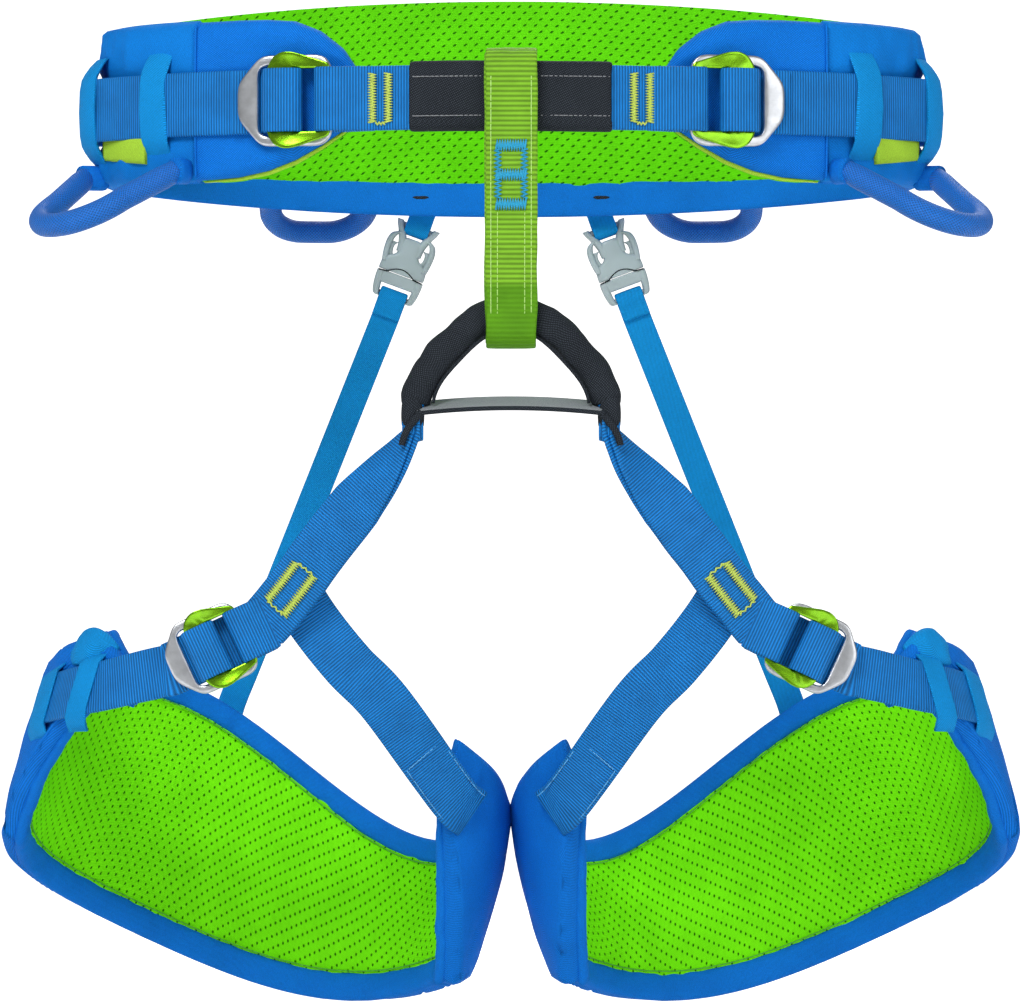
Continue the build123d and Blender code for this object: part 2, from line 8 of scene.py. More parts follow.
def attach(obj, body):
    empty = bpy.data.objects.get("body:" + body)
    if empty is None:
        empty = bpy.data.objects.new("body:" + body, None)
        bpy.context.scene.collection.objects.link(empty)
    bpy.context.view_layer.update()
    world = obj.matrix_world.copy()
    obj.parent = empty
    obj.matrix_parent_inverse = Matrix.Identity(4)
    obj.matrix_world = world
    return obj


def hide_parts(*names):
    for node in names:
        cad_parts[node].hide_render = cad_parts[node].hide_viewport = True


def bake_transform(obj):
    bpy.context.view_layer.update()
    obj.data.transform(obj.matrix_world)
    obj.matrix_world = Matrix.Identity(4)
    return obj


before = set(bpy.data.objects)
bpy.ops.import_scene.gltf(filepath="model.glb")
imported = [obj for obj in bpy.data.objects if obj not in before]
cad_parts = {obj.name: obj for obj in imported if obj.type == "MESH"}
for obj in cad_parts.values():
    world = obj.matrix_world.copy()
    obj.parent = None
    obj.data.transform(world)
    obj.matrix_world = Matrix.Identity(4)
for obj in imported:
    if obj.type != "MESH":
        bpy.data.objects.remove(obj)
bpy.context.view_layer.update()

# Climbing harness: cloth, webbing, mesh, cord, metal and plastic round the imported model.
# Shapes are worked out in millimetres and stored in metres. +Y is the back, and the origin is
# the centre of the waist opening. Left and right are as seen from the front. An offset is a
# distance out from a pad's own middle surface, and a rise is a distance up it.
MM = 0.001
UP = Vector((0, 0, 1))
SIDES = {"left": -1, "right": 1}

# Sizes of the real harness that several pieces share
BELT_HALF_WIDTH, BELT_HALF_DEPTH = 180.0, 76.0
BELT_END_ANGLE = -41.0
WAIST_WEB_WIDTH, LEG_WEB_WIDTH, RISER_WIDTH = 28.0, 23.0, 13.0
WEB_STAND_OFF = 5.9
WAIST_BUCKLE_X = 95.0
FRONT_Y = -92.4
SLEEVE_HALF_LENGTH = 42.8
BELAY_TOP_Z, BELAY_LOW_Z = 10.4, -97.0
BRIDGE_Z, BRIDGE_RADIUS = -134.5, 42.0
LEG_CENTRE_X, LEG_HALF_WIDTH, LEG_HALF_DEPTH = 113.5, 98.4, 78.0
LEG_LEAN = Vector((-0.27, 0.15, 1)).normalized()
RISER_ANGLE = 108
CLIP_ORIGIN, CLIP_DIRECTION = Vector((43, 81.5, -45)), Vector((90, 13, -244)).normalized()
GEAR_TUBE_RADIUS, GEAR_OFFSET = 5.2, 10.5


# ---------------------------------------------------------------- mesh helpers

def add_piece(name, bm, material, body, node=None):
    """Turns a bmesh in millimetres into a smooth piece that rides on a body."""
    bmesh.ops.scale(bm, verts=bm.verts, vec=(MM, MM, MM))
    mesh = bpy.data.meshes.new(name)
    bm.to_mesh(mesh)
    bm.free()
    for face in mesh.polygons:
        face.use_smooth = True
    mesh.materials.append(material)
    piece = bpy.data.objects.new(name, mesh)
    bpy.context.scene.collection.objects.link(piece)
    if body:
        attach(piece, body)
    if node:
        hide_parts(*([node] if isinstance(node, str) else node))
    return piece


def skin(rings, middle=0):
    """A tube laid through rings of points, one column to a ring, and closed at its ends.

    The UV map is in metres: u round the ring from the point called middle, v along.
    """
    count = len(rings[0])
    bm = bmesh.new()
    bmesh.ops.create_grid(bm, x_segments=len(rings) - 1, y_segments=count, size=1)
    uv = bm.loops.layers.uv.new("cloth")
    seats = {v: (round((v.co.x + 1) / 2 * (len(rings) - 1)), round((v.co.y + 1) / 2 * count))
             for v in bm.verts}
    around, travelled, last = [], [0.0], None
    for ring in rings:
        steps = [0.0]
        for j in range(count):
            steps.append(steps[-1] + (ring[(j + 1) % count] - ring[j]).length)
        around.append([(s - steps[middle]) * MM for s in steps])
        centre = sum(ring, Vector()) / count
        if last is not None:
            travelled.append(travelled[-1] + (centre - last).length * MM)
        last = centre
    for face in bm.faces:
        for loop in face.loops:
            i, j = seats[loop.vert]
            loop[uv].uv = (around[i][j], travelled[i])
    for vert, (i, j) in seats.items():
        vert.co = rings[i][j % count]
    bmesh.ops.remove_doubles(bm, verts=bm.verts, dist=1e-5)
    bmesh.ops.holes_fill(bm, edges=[e for e in bm.edges if e.is_boundary], sides=0)
    bmesh.ops.recalc_face_normals(bm, faces=bm.faces)
    return bm


EDGE_TURNS = 4


def slab(width, thickness, columns=6, crown=0.0, inner_crown=0.0, shift=0.0):
    """Ring of a band: (offset, rise) pairs up its outer face and down its inner one."""
    half_t = thickness / 2
    half_w = max(width / 2 - half_t, 0.2)
    face = [-half_w + 2 * half_w * i / columns for i in range(columns + 1)]
    ring = [(half_t + crown * (1 - (r / half_w) ** 2), r) for r in face]
    turns = [pi * k / EDGE_TURNS for k in range(1, EDGE_TURNS)]
    ring += [(half_t * cos(t), half_w + half_t * sin(t)) for t in turns]
    ring += [(-half_t - inner_crown * (1 - (r / half_w) ** 2), r) for r in reversed(face)]
    ring += [(-half_t * cos(t), -half_w - half_t * sin(t)) for t in turns]
    return [(o + shift, r) for o, r in ring]


def oval(half_offset, half_rise, count=16, offset=0.0, rise=0.0, power=2.5):
    """Ring of a puffed roll, squarer than an ellipse."""
    ring = []
    for k in range(count):
        c, s = cos(2 * pi * k / count), sin(2 * pi * k / count)
        ring.append((offset + half_offset * abs(c) ** (2 / power) * (1 if c > 0 else -1),
                     rise + half_rise * abs(s) ** (2 / power) * (1 if s > 0 else -1)))
    return ring


def placed(ring, origin, outward, up):
    return [origin + outward * o + up * r for o, r in ring]


def spread(first, last, count):
    return [first + (last - first) * i / (count - 1) for i in range(count)]


def mirrored(v, side):
    return Vector((v[0] * side, v[1], v[2]))


def smooth_path(points, count):
    """Points evenly spaced along a smooth curve through the given ones."""
    n = len(points)
    padded_points = [points[0] * 2 - points[1]] + list(points) + [points[-1] * 2 - points[-2]]
    fine = []
    for i in range(n - 1):
        a, b, c, d = padded_points[i:i + 4]
        for k in range(12):
            t = k / 12
            fine.append(0.5 * ((2 * b) + (c - a) * t + (2 * a - 5 * b + 4 * c - d) * t * t
                               + (3 * b - a - 3 * c + d) * t ** 3))
    fine.append(points[-1].copy())
    lengths = [0.0]
    for p, q in zip(fine, fine[1:]):
        lengths.append(lengths[-1] + (q - p).length)
    result, k = [], 0
    for i in range(count):
        target = lengths[-1] * i / (count - 1)
        while k < len(fine) - 2 and lengths[k + 1] < target:
            k += 1
        span = lengths[k + 1] - lengths[k]
        result.append(fine[k].lerp(fine[k + 1], (target - lengths[k]) / span if span else 0))
    return result


def strap_rings(centres, ups, widths, thickness, columns=6, crown=0.0):
    """Rings of a strap along its centre line, with its width lying along ups."""
    rings = []
    for i, centre in enumerate(centres):
        ahead = centres[min(i + 1, len(centres) - 1)] - centres[max(i - 1, 0)]
        up = (ups[i] - ahead * (ups[i].dot(ahead) / ahead.dot(ahead))).normalized()
        outward = up.cross(ahead).normalized()
        width = widths[i] if isinstance(widths, (list, tuple)) else widths
        deep = thickness[i] if isinstance(thickness, (list, tuple)) else thickness
        rings.append(placed(slab(width, deep, columns, crown), centre, outward, up))
    return rings


PUFF_FRAMES = 10
PUFF_PRESSURE = 1.2
PUFF_GROWTH = 0.02
INNER_FACE_LIMIT = 0.12 * MM


def puffed(piece, cap, middle_x=None, free=None):
    """Lets a pad's cloth swell and wrinkle as a cloth simulation, moving by at most cap mm.

    A pad that goes round a body about middle_x keeps its inner face under its lining, and
    free gives the share of its movement that a point in mm keeps, such as under a strap.
    """
    cloth = piece.modifiers.new("cloth", "CLOTH")
    cloth.settings.quality = 5
    cloth.settings.mass = 0.2
    cloth.settings.tension_stiffness = 25
    cloth.settings.compression_stiffness = 25
    cloth.settings.bending_stiffness = 0.6
    cloth.settings.use_pressure = True
    cloth.settings.uniform_pressure_force = PUFF_PRESSURE
    cloth.settings.shrink_min = -PUFF_GROWTH
    cloth.settings.effector_weights.gravity = 0
    cloth.point_cache.frame_end = PUFF_FRAMES
    for step in range(1, PUFF_FRAMES + 1):
        bpy.context.scene.frame_set(step)
    settled = piece.evaluated_get(bpy.context.evaluated_depsgraph_get())
    places = [v.co.copy() for v in settled.data.vertices]
    piece.modifiers.remove(cloth)
    bpy.context.scene.frame_set(1)
    limit = cap * MM
    for vert, place in zip(piece.data.vertices, places):
        move = place - vert.co
        if middle_x is not None:
            outward = Vector((vert.co.x - middle_x * MM, vert.co.y, 0)).normalized()
            if vert.normal.dot(outward) < 0.25:
                limit = INNER_FACE_LIMIT
            else:
                limit = cap * MM * (free(vert.co / MM) if free else 1.0)
                move += outward * max(0.0, -move.dot(outward))
        if move.length > limit:
            move *= limit / move.length
        vert.co += move
    piece.data.update()


def off_strap(height, half):
    """Share of its movement that cloth keeps, from none under a strap to all clear of it."""
    return min(1.0, max(0.05, (abs(height) - half) / 6))


def ripple(point, size, scale, seed=0.0):
    """Gentle unevenness of sewn cloth, the same on every run."""
    return size * noise.noise(Vector((point.x / scale, point.y / scale, point.z / scale + seed)))


# ---------------------------------------------------------------- material helpers

class Finish:
    """A material built node by node."""

    def __init__(self, name, roughness=0.6, **sockets):
        self.material = bpy.data.materials.new(name)
        self.material.use_nodes = True
        self.tree = self.material.node_tree
        self.shader = self.tree.nodes["Principled BSDF"]
        self.shader.inputs["Roughness"].default_value = roughness
        for socket, value in sockets.items():
            self.shader.inputs[socket.replace("_", " ")].default_value = value

    def node(self, kind, settings=None, **inputs):
        made = self.tree.nodes.new(kind)
        for key, value in (settings or {}).items():
            setattr(made, key, value)
        for key, value in inputs.items():
            socket = made.inputs[int(key[1:])] if key[1:].isdigit() else made.inputs[key]
            self.feed(socket, value)
        return made

    def feed(self, socket, value):
        if isinstance(value, bpy.types.NodeSocket):
            self.tree.links.new(value, socket)
        else:
            socket.default_value = value

    def math(self, operation, a, b=0.0, c=0.0):
        return self.node("ShaderNodeMath", {"operation": operation}, _0=a, _1=b, _2=c).outputs[0]

    def uv(self):
        split = self.node("ShaderNodeSeparateXYZ",
                          _0=self.node("ShaderNodeUVMap", {"uv_map": "cloth"}).outputs[0])
        return split.outputs[0], split.outputs[1]

    def place(self):
        return self.node("ShaderNodeTexCoord").outputs["Object"]

    def noise(self, scale, detail=2.0, vector=None):
        made = self.node("ShaderNodeTexNoise", Scale=scale, Detail=detail,
                         Vector=vector or self.place())
        return made.outputs["Fac"]

    def ramp(self, value, *stops):
        made = self.node("ShaderNodeValToRGB", Fac=value)
        ramp = made.color_ramp
        while len(ramp.elements) < len(stops):
            ramp.elements.new(0.5)
        for element, (place, colour) in zip(ramp.elements, stops):
            element.position = place
            element.color = (*colour, 1) if len(colour) == 3 else colour
        return made.outputs["Color"]

    def mix(self, factor, a, b):
        made = self.node("ShaderNodeMix", {"data_type": "RGBA"})
        self.feed(made.inputs[0], factor)
        self.feed(made.inputs[6], a if isinstance(a, bpy.types.NodeSocket) else (*a, 1))
        self.feed(made.inputs[7], b if isinstance(b, bpy.types.NodeSocket) else (*b, 1))
        return made.outputs[2]

    def colour(self, value):
        self.feed(self.shader.inputs["Base Color"],
                  value if isinstance(value, bpy.types.NodeSocket) else (*value, 1))

    def bump(self, height, depth_mm, strength=1.0):
        made = self.node("ShaderNodeBump", Height=height, Distance=depth_mm * MM,
                         Strength=strength)
        self.tree.links.new(made.outputs[0], self.shader.inputs["Normal"])


def shade(colour, factor):
    return tuple(min(1.0, c * factor) for c in colour)


def waves(f, coordinate, period_mm, phase=0.0):
    """0 to 1 to 0 over each period of a distance in metres."""
    turn = f.math("MULTIPLY_ADD", coordinate, 2 * pi / (period_mm * MM), phase)
    return f.math("MULTIPLY_ADD", f.math("SINE", turn), 0.5, 0.5)


def webbing_finish(name, colour, period=1.25, depth=0.22, light=1.5, lower=None):
    """Ribs across the strap, with fine threads over them; their colour is partly the weave's own
    pattern and partly painted shade in the grooves and painted highlight on the crests.
    """
    f = Finish(name, 0.6, Specular_IOR_Level=0.22)
    u, v = f.uv()
    rib = waves(f, v, period)
    slant_a = f.math("MULTIPLY_ADD", u, 0.8, v)
    slant_b = f.math("MULTIPLY_ADD", u, -0.8, v)
    thread = f.math("MAXIMUM", waves(f, slant_a, 0.55), waves(f, slant_b, 0.55))
    height = f.math("MULTIPLY_ADD", thread, 0.35, rib)
    worn = f.noise(90.0, 3.0)
    # Rib and thread tone: the weave's pattern plus painted shade in the grooves and a painted
    # highlight on the crests, as strong as light
    base = f.ramp(f.math("MULTIPLY_ADD", thread, 0.3, f.math("MULTIPLY", rib, 0.7)),
                  (0.05, shade(colour, 0.42)), (0.5, colour), (1.0, shade(colour, light)))
    if lower:
        level = f.node("ShaderNodeSeparateXYZ", _0=f.place()).outputs[2]
        share = f.node("ShaderNodeMapRange", _0=level, _1=-0.079, _2=-0.082, _3=0.0,
                       _4=1.0).outputs[0]
        smooth = f.ramp(f.math("MULTIPLY_ADD", thread, 0.3, f.math("MULTIPLY", rib, 0.25)),
                        (0.1, shade(lower, 0.85)), (0.5, shade(lower, 1.1)))
        base = f.mix(share, base, smooth)
    tint = f.ramp(worn, (0.3, (0.82, 0.82, 0.82)), (0.7, (1.0, 1.0, 1.0)))
    mixed = f.node("ShaderNodeMix", {"data_type": "RGBA", "blend_type": "MULTIPLY"})
    f.feed(mixed.inputs[0], 1.0)
    f.feed(mixed.inputs[6], base)
    f.feed(mixed.inputs[7], tint)
    f.colour(mixed.outputs[2])
    f.bump(height, depth)
    return f.material


def woven_finish(name, colour, thread=0.55, light=1.45, depth=0.1, rough=0.7):
    """Plain weave with a soft slanting grain."""
    f = Finish(name, rough, Specular_IOR_Level=0.1)
    u, v = f.uv()
    over = waves(f, f.math("MULTIPLY_ADD", u, 0.6, v), thread)
    under = waves(f, f.math("MULTIPLY_ADD", v, -0.5, u), thread * 1.15)
    weave = f.math("MULTIPLY", over, under)
    patch = f.noise(45.0, 3.0)
    fleck = f.noise(1500.0, 1.0)
    tone = f.math("MULTIPLY_ADD", fleck, 0.35, f.math("MULTIPLY_ADD", patch, 0.3, weave))
    f.colour(f.ramp(tone, (0.15, shade(colour, 0.5)), (0.6, colour),
                    (0.96, shade(colour, light * 1.1))))
    f.bump(weave, depth)
    return f.material


def mesh_finish(name, colour, hole, pitch, row_gap, dash_long, dash_high, lean_by):
    """Spacer mesh: a staggered lattice of small slanting holes in a knitted face, with painted
    shade in the holes.
    """
    f = Finish(name, 0.8, Specular_IOR_Level=0.08)
    u, v = f.uv()
    rise = f.math("DIVIDE", u, row_gap * MM)
    row = f.math("FLOOR", rise)
    odd = f.math("MODULO", f.math("ABSOLUTE", row), 2.0)
    along = f.math("MULTIPLY_ADD", odd, 0.5, f.math("DIVIDE", v, pitch * MM))
    x = f.math("MULTIPLY", f.math("SUBTRACT", f.math("FRACT", along), 0.5), pitch)
    y = f.math("MULTIPLY", f.math("SUBTRACT", f.math("FRACT", rise), 0.5), row_gap)
    lean = f.math("MULTIPLY_ADD", x, lean_by, y)
    wide = f.math("POWER", f.math("DIVIDE", x, dash_long), 2.0)
    tall = f.math("POWER", f.math("DIVIDE", lean, dash_high), 2.0)
    reach = f.math("SQRT", f.math("ADD", wide, tall))
    inside = f.node("ShaderNodeMapRange", {"interpolation_type": "SMOOTHSTEP"}, _0=reach,
                    _1=0.55, _2=1.35, _3=1.0, _4=0.0).outputs[0]
    knit = f.math("MULTIPLY", waves(f, u, 0.8), waves(f, v, 0.62))
    swell = f.math("MULTIPLY", waves(f, u, 2 * row_gap), waves(f, v, pitch, 1.2))
    patch = f.noise(60.0, 3.0)
    tone = f.math("MULTIPLY_ADD", patch, 0.5, f.math("MULTIPLY", knit, 0.5))
    cloth = f.ramp(tone, (0.1, shade(colour, 0.72)), (0.5, colour),
                   (0.9, (min(1, colour[0] * 1.35), min(1, colour[1] * 1.1), colour[2] * 1.6)))
    # The holes take the darker hole colour: painted shade inside each hole
    f.colour(f.mix(inside, cloth, hole))
    height = f.math("MULTIPLY_ADD", knit, 0.14,
                    f.math("MULTIPLY_ADD", swell, 0.25, f.math("MULTIPLY", inside, -1.0)))
    f.bump(height, 0.6)
    return f.material


def metal_finish(name, colour, rough, coat=0.0, grain=0.04):
    f = Finish(name, rough, Metallic=1.0, Coat_Weight=coat, Coat_Roughness=0.12)
    scuff = f.noise(220.0, 4.0)
    brushed = f.node("ShaderNodeMapping", Vector=f.place(), Scale=(1.0, 1.0, 18.0)).outputs[0]
    line = f.noise(160.0, 3.0, brushed)
    f.colour(f.ramp(scuff, (0.35, shade(colour, 0.86)), (0.65, shade(colour, 1.06))))
    f.feed(f.shader.inputs["Roughness"],
           f.math("MULTIPLY_ADD", line, 0.16, rough - 0.08))
    f.bump(line, grain)
    return f.material


def plastic_finish(name, colour):
    f = Finish(name, 0.42, Specular_IOR_Level=0.45, Coat_Weight=0.1)
    grain = f.noise(1400.0, 2.0)
    patch = f.noise(60.0, 2.0)
    f.colour(f.ramp(patch, (0.3, shade(colour, 0.9)), (0.7, shade(colour, 1.05))))
    f.feed(f.shader.inputs["Roughness"], f.math("MULTIPLY_ADD", grain, 0.14, 0.36))
    f.bump(grain, 0.03)
    return f.material


def braid_finish(name, colour):
    """Braided sheath of the gear loops: two sets of threads crossing on the slant."""
    f = Finish(name, 0.5, Sheen_Weight=0.04, Specular_IOR_Level=0.35)
    u, v = f.uv()
    a = waves(f, f.math("MULTIPLY_ADD", u, 1.0, v), 1.5)
    b = waves(f, f.math("MULTIPLY_ADD", u, -1.0, v), 1.5)
    braid = f.math("MAXIMUM", a, b)
    f.colour(f.ramp(f.math("MULTIPLY_ADD", f.noise(900.0), 0.3, f.math("MULTIPLY", braid, 0.8)),
                    (0.3, shade(colour, 0.55)), (0.65, colour), (1.0, shade(colour, 1.5))))
    f.bump(braid, 0.25)
    return f.material


def thread_finish(name, colour):
    f = Finish(name, 0.5, Sheen_Weight=0.05)
    twist = f.noise(2500.0, 1.0)
    f.colour(f.ramp(twist, (0.3, shade(colour, 0.75)), (0.7, shade(colour, 1.15))))
    f.bump(twist, 0.05)
    return f.material


BLUE = (0.003, 0.165, 0.66)
LIGHT_BLUE = (0.005, 0.27, 0.68)
WEB_BLUE = (0.004, 0.155, 0.47)
LIME = (0.125, 0.72, 0.003)
GREEN_WEB = (0.20, 0.46, 0.02)
GREY = (0.022, 0.027, 0.034)
TAPE = (0.26, 0.28, 0.30)

cloth_blue = woven_finish("blue cover cloth", BLUE, 0.7)
hip_blue = woven_finish("blue hip cloth", (0.003, 0.20, 0.70), 0.55)
edge_blue = woven_finish("blue edge cloth", shade(BLUE, 1.05), 0.5)
elastic_blue = woven_finish("light blue elastic", LIGHT_BLUE, 0.6, light=1.35)
# light sets how bright the painted highlight on each webbing's rib crests is
web_blue = webbing_finish("blue webbing", WEB_BLUE, light=1.9)
web_green = webbing_finish("green webbing", GREEN_WEB, 2.1, 0.3, light=1.45,
                           lower=(0.11, 0.34, 0.003))
# The second colour of each mesh is the painted shade in its holes
mesh_lime = mesh_finish("lime belt mesh", LIME, (0.012, 0.15, 0.0), 5.0, 2.9, 0.78, 0.42, -0.45)
leg_mesh_lime = mesh_finish("lime leg mesh", (0.2, 0.95, 0.004), (0.012, 0.17, 0.0), 4.0, 3.2,
                            0.42, 0.62, -0.3)
lime_trim = woven_finish("lime trim", (0.42, 0.75, 0.05), 0.5)
cloth_grey = woven_finish("dark grey cloth", shade(GREY, 0.8), 0.9, light=2.6, depth=0.18,
                          rough=0.8)
tape_grey = woven_finish("grey tape", TAPE, 0.7, light=1.5)
foam_grey = woven_finish("foam", (0.05, 0.055, 0.06), 1.2)
cord_blue = braid_finish("blue braid", shade(BLUE, 0.72))
alloy_silver = metal_finish("silver alloy", (0.60, 0.62, 0.65), 0.34)
alloy_green = metal_finish("green anodised alloy", (0.22, 0.52, 0.01), 0.25, coat=0.3, grain=0.01)
plastic_grey = plastic_finish("light grey plastic", (0.38, 0.45, 0.48))
thread_lime = thread_finish("lime thread", (0.52, 0.66, 0.10))
thread_blue = thread_finish("light blue thread", (0.01, 0.36, 0.62))
thread_pale = thread_finish("pale blue thread", (0.10, 0.42, 0.80))
thread_pale_green = thread_finish("pale green thread", (0.5, 0.8, 0.2))
thread_green = thread_finish("green thread", (0.08, 0.45, 0.02))
thread_grey = thread_finish("grey thread", (0.22, 0.23, 0.25))


# ---------------------------------------------------------------- waist belt

def belt_normal(angle):
    a = radians(angle)
    return Vector((cos(a) / BELT_HALF_WIDTH, sin(a) / BELT_HALF_DEPTH, 0)).normalized()


def belt_point(angle, rise=0.0, offset=0.0):
    a = radians(angle)
    middle = Vector((BELT_HALF_WIDTH * cos(a), BELT_HALF_DEPTH * sin(a), rise))
    return middle + belt_normal(angle) * offset


def back_share(angle):
    return max(0.0, sin(radians(angle)))


def belt_top(angle):
    return 37 + 21 * back_share(angle) ** 1.5


def belt_bottom(angle):
    return -33.5 - 7.5 * back_share(angle) ** 2


def front_angle(x):
    return -degrees(acos(x / BELT_HALF_WIDTH))


def surface(point, side=1):
    """The same surface, on either side."""
    return lambda a, rise, offset: mirrored(point(a, rise, offset), side)


def pad_ring(bottom, top, outer, inner, swell=None, sink=None, columns=12, edge=4):
    """Ring of a pad: up its outer face, over the top edge and down its inner face."""
    radius, middle = (outer - inner) / 2, (outer + inner) / 2
    reach = min(radius, (top - bottom) * 0.35)
    rises = spread(bottom + reach, top - reach, columns + 1)
    ring = [(outer + (swell(r) if swell else 0), r) for r in rises]
    turns = [pi * k / edge for k in range(1, edge)]
    ring += [(middle + radius * cos(t), rises[-1] + reach * sin(t)) for t in turns]
    ring += [(inner - (sink(r) if sink else 0), r) for r in reversed(rises)]
    ring += [(middle - radius * cos(t), rises[0] - reach * sin(t)) for t in turns]
    return ring


def band(angles, ring_at, point, rough=0.0, scale=9.0, seed=0.0):
    """Rings of a layer that follows a curved surface, unevenly by up to about rough mm."""
    rings = []
    for a in angles:
        ring = []
        for offset, rise in ring_at(a):
            if rough:
                offset += ripple(point(a, rise, 0), rough, scale, seed)
            ring.append(point(a, rise, offset))
        rings.append(ring)
    return rings


def window(value, low, high):
    """A hump that is 0 at low and high and 1 halfway."""
    share = (value - low) / (high - low)
    return sin(pi * share) if 0 < share < 1 else 0.0


def waist_pad():
    """Padded belt from hip to hip round the back, pinched under its webbing at the hips."""
    angles = spread(BELT_END_ANGLE, 180 - BELT_END_ANGLE, 220)

    def ring(a):
        low, high = belt_bottom(a), belt_top(a)
        lift = 6 * back_share(a)
        hip = max(0.0, 1 - (abs(abs(a - 90) - 96) / 38) ** 2)
        end = min(1.0, min(a - BELT_END_ANGLE, 180 - BELT_END_ANGLE - a) / 4)

        def swell(r):
            puff = 1.5 * hip + 0.5
            above = window(r, lift + 13, high) ** 0.6 * puff
            below = window(r, low, lift - 13) ** 0.6 * puff * 1.3
            crease = 1.1 * hip * noise.noise(Vector((a / 4, r / 16, 2.0)))
            return (above * (1 + crease) + below * (1 + crease)) * end
        return pad_ring(low, high, 4.4 - 3.2 * hip, -4.2, swell,
                        lambda r: 0.5 * window(r, low, high))
    piece = add_piece("belt_pad", skin(band(angles, ring, belt_point, 0.8, 14)), hip_blue,
                      "waist_belt", ["belt_outer_shell", "belt_foam_core"])
    puffed(piece, 1.4, 0, lambda p: (off_strap(p.z - 6 * max(0.0, p.y) / 80, 14)
                                     * min(1.0, max(0.1, (p.z + 34) / 12))))


def waist_seams():
    """Rows of stitching along the belt's outer face."""
    def high(a, _, lift):
        return belt_point(a, belt_top(a) - 6.5, 4.55 + lift + 0.3)

    def low(a, _, lift):
        return belt_point(a, belt_bottom(a) + 6.5, 4.75 + lift + 0.3)
    rows = [stitched(row, (a, 0), (a + 6, 0), 2.8, 0.5, 0.28, 0.6)
            for row in (high, low) for a in range(30, 150, 6)]
    add_piece("belt_back_stitches", joined(rows), thread_blue, "waist_belt")


def waist_lining():
    """Mesh face against the body, and the smooth blue border under it."""
    angles = spread(-40.4, 220.4, 200)

    def mesh_ring(a):
        low, high = belt_bottom(a) + 8.5 + 5 * back_share(a) ** 2, belt_top(a) + 0.5
        return pad_ring(low, high, -3.6, -4.9, None, lambda r: 0.9 * window(r, low, high), 14, 3)
    add_piece("belt_mesh", skin(band(angles, mesh_ring, belt_point, 0.5, 22)), mesh_lime,
              "waist_belt", "belt_mesh_lining")

    def border_ring(a):
        low = belt_bottom(a) - 0.5
        high = low + 10.5 + 6.0 * back_share(a) ** 2
        return pad_ring(low, high, -2.8, -5.1, None, lambda r: 0.7 * window(r, low, high), 8, 3)
    add_piece("belt_border", skin(band(angles, border_ring, belt_point, 0.55, 7, 3.0)), edge_blue,
              "waist_belt", "belt_lower_binding")
    # Dark grey pieces on the border's inner face: painted shade standing for the inside of two
    # slots
    slot_shades = []
    for side in SIDES.values():
        middle = 90 - side * 13.6
        path = [belt_point(middle + 1.25 * t, belt_bottom(90) + 8.6, -5.7)
                for t in spread(-1, 1, 9)]
        slot_shades.append(skin([[p + Vector((0, o * 0.5, r)) for o, r in oval(0.5, 0.9 * w, 8)]
                           for p, w in zip(path, (0.2, 0.7, 1, 1, 1, 1, 1, 0.7, 0.2))]))
    add_piece("belt_border_slot_shades", joined(slot_shades), cloth_grey, "waist_belt")


def joined(meshes):
    """Several bmeshes made into one."""
    whole = meshes[0]
    for part in meshes[1:]:
        kept = bpy.data.meshes.new("part")
        part.to_mesh(kept)
        part.free()
        whole.from_mesh(kept)
        bpy.data.meshes.remove(kept)
    return whole


# Wing outline: distance from the middle, top and bottom.
WING = [(136.5, 36, -33), (118, 36.2, -32), (105, 36, -29.5), (93, 35, -25), (82, 30.5, -19),
        (72, 22.5, -12.5), (66, 13.5, -6.5), (62.5, 6, -1.5), (61, 3, 0.5)]


def wing_edges(x):
    for (xa, top_a, low_a), (xb, top_b, low_b) in zip(WING, WING[1:]):
        if xb <= x <= xa:
            t = (xa - x) / (xa - xb)
            return top_a + (top_b - top_a) * t, low_a + (low_b - low_a) * t
    return WING[-1][1:]


def belt_wing(name, side):
    point = surface(belt_point, side)
    distances = spread(136.0, 61.2, 60)

    def cover_ring(a):
        x = BELT_HALF_WIDTH * cos(radians(a))
        top, low = wing_edges(x)
        start = min(1.0, (136.6 - x) / 3)
        tip = min(1.0, (x - 60.4) / 8)
        outer = 1.2 + 3.2 * tip

        def swell(r):
            above, below = window(r, 12, top) ** 0.7, window(r, low, -12) ** 0.7
            return start * tip * (0.9 * above + 0.9 * below)
        return pad_ring(low, top, outer, -3.6 * tip - 0.2, swell)
    angles = [front_angle(x) for x in distances]
    cover = add_piece(f"wing_pad_{name}", skin(band(angles, cover_ring, point, 0.4, 14, 5.0)),
                      cloth_blue, "waist_belt", [f"wing_cover_{name}", f"wing_foam_{name}"])
    puffed(cover, 1.2, 0, lambda p: off_strap(p.z, 15))

    def lining_ring(a):
        x = BELT_HALF_WIDTH * cos(radians(a))
        top, low = wing_edges(x)
        tip = min(1.0, max(0.15, (x - 58.5) / 10))
        spare = 1.6 * min(1.0, (138 - x) / 12)
        return pad_ring(low - spare, top + spare * 0.2, -2.4, -4.9, None,
                        lambda r: 0.6 * window(r, low, top) * tip, 10, 3)
    lined = [front_angle(x) for x in spread(136.0, 60.0, 50)]
    add_piece(f"wing_mesh_{name}", skin(band(lined, lining_ring, point, 0.4, 18, 7.0)), mesh_lime,
              "waist_belt", f"wing_lining_{name}")
    # Trim that shows along the wing's lower and front edges
    path = [point(front_angle(x), wing_edges(x)[1] - 0.7, -0.6) for x in spread(134, 61.2, 60)]
    add_piece(f"wing_trim_{name}", skin(tube_rings(path, lambda t: 0.35 + 0.75 * sin(pi * t), 8)),
              lime_trim, "waist_belt", None)
    seam = [point(-41.25, r, 4.6 + 0.7 * window(r, -33, 36)) for r in spread(-32, 35, 60)]
    add_piece(f"wing_seam_{name}", skin(tube_rings(seam, 0.55, 6)), edge_blue, "waist_belt",
              None)


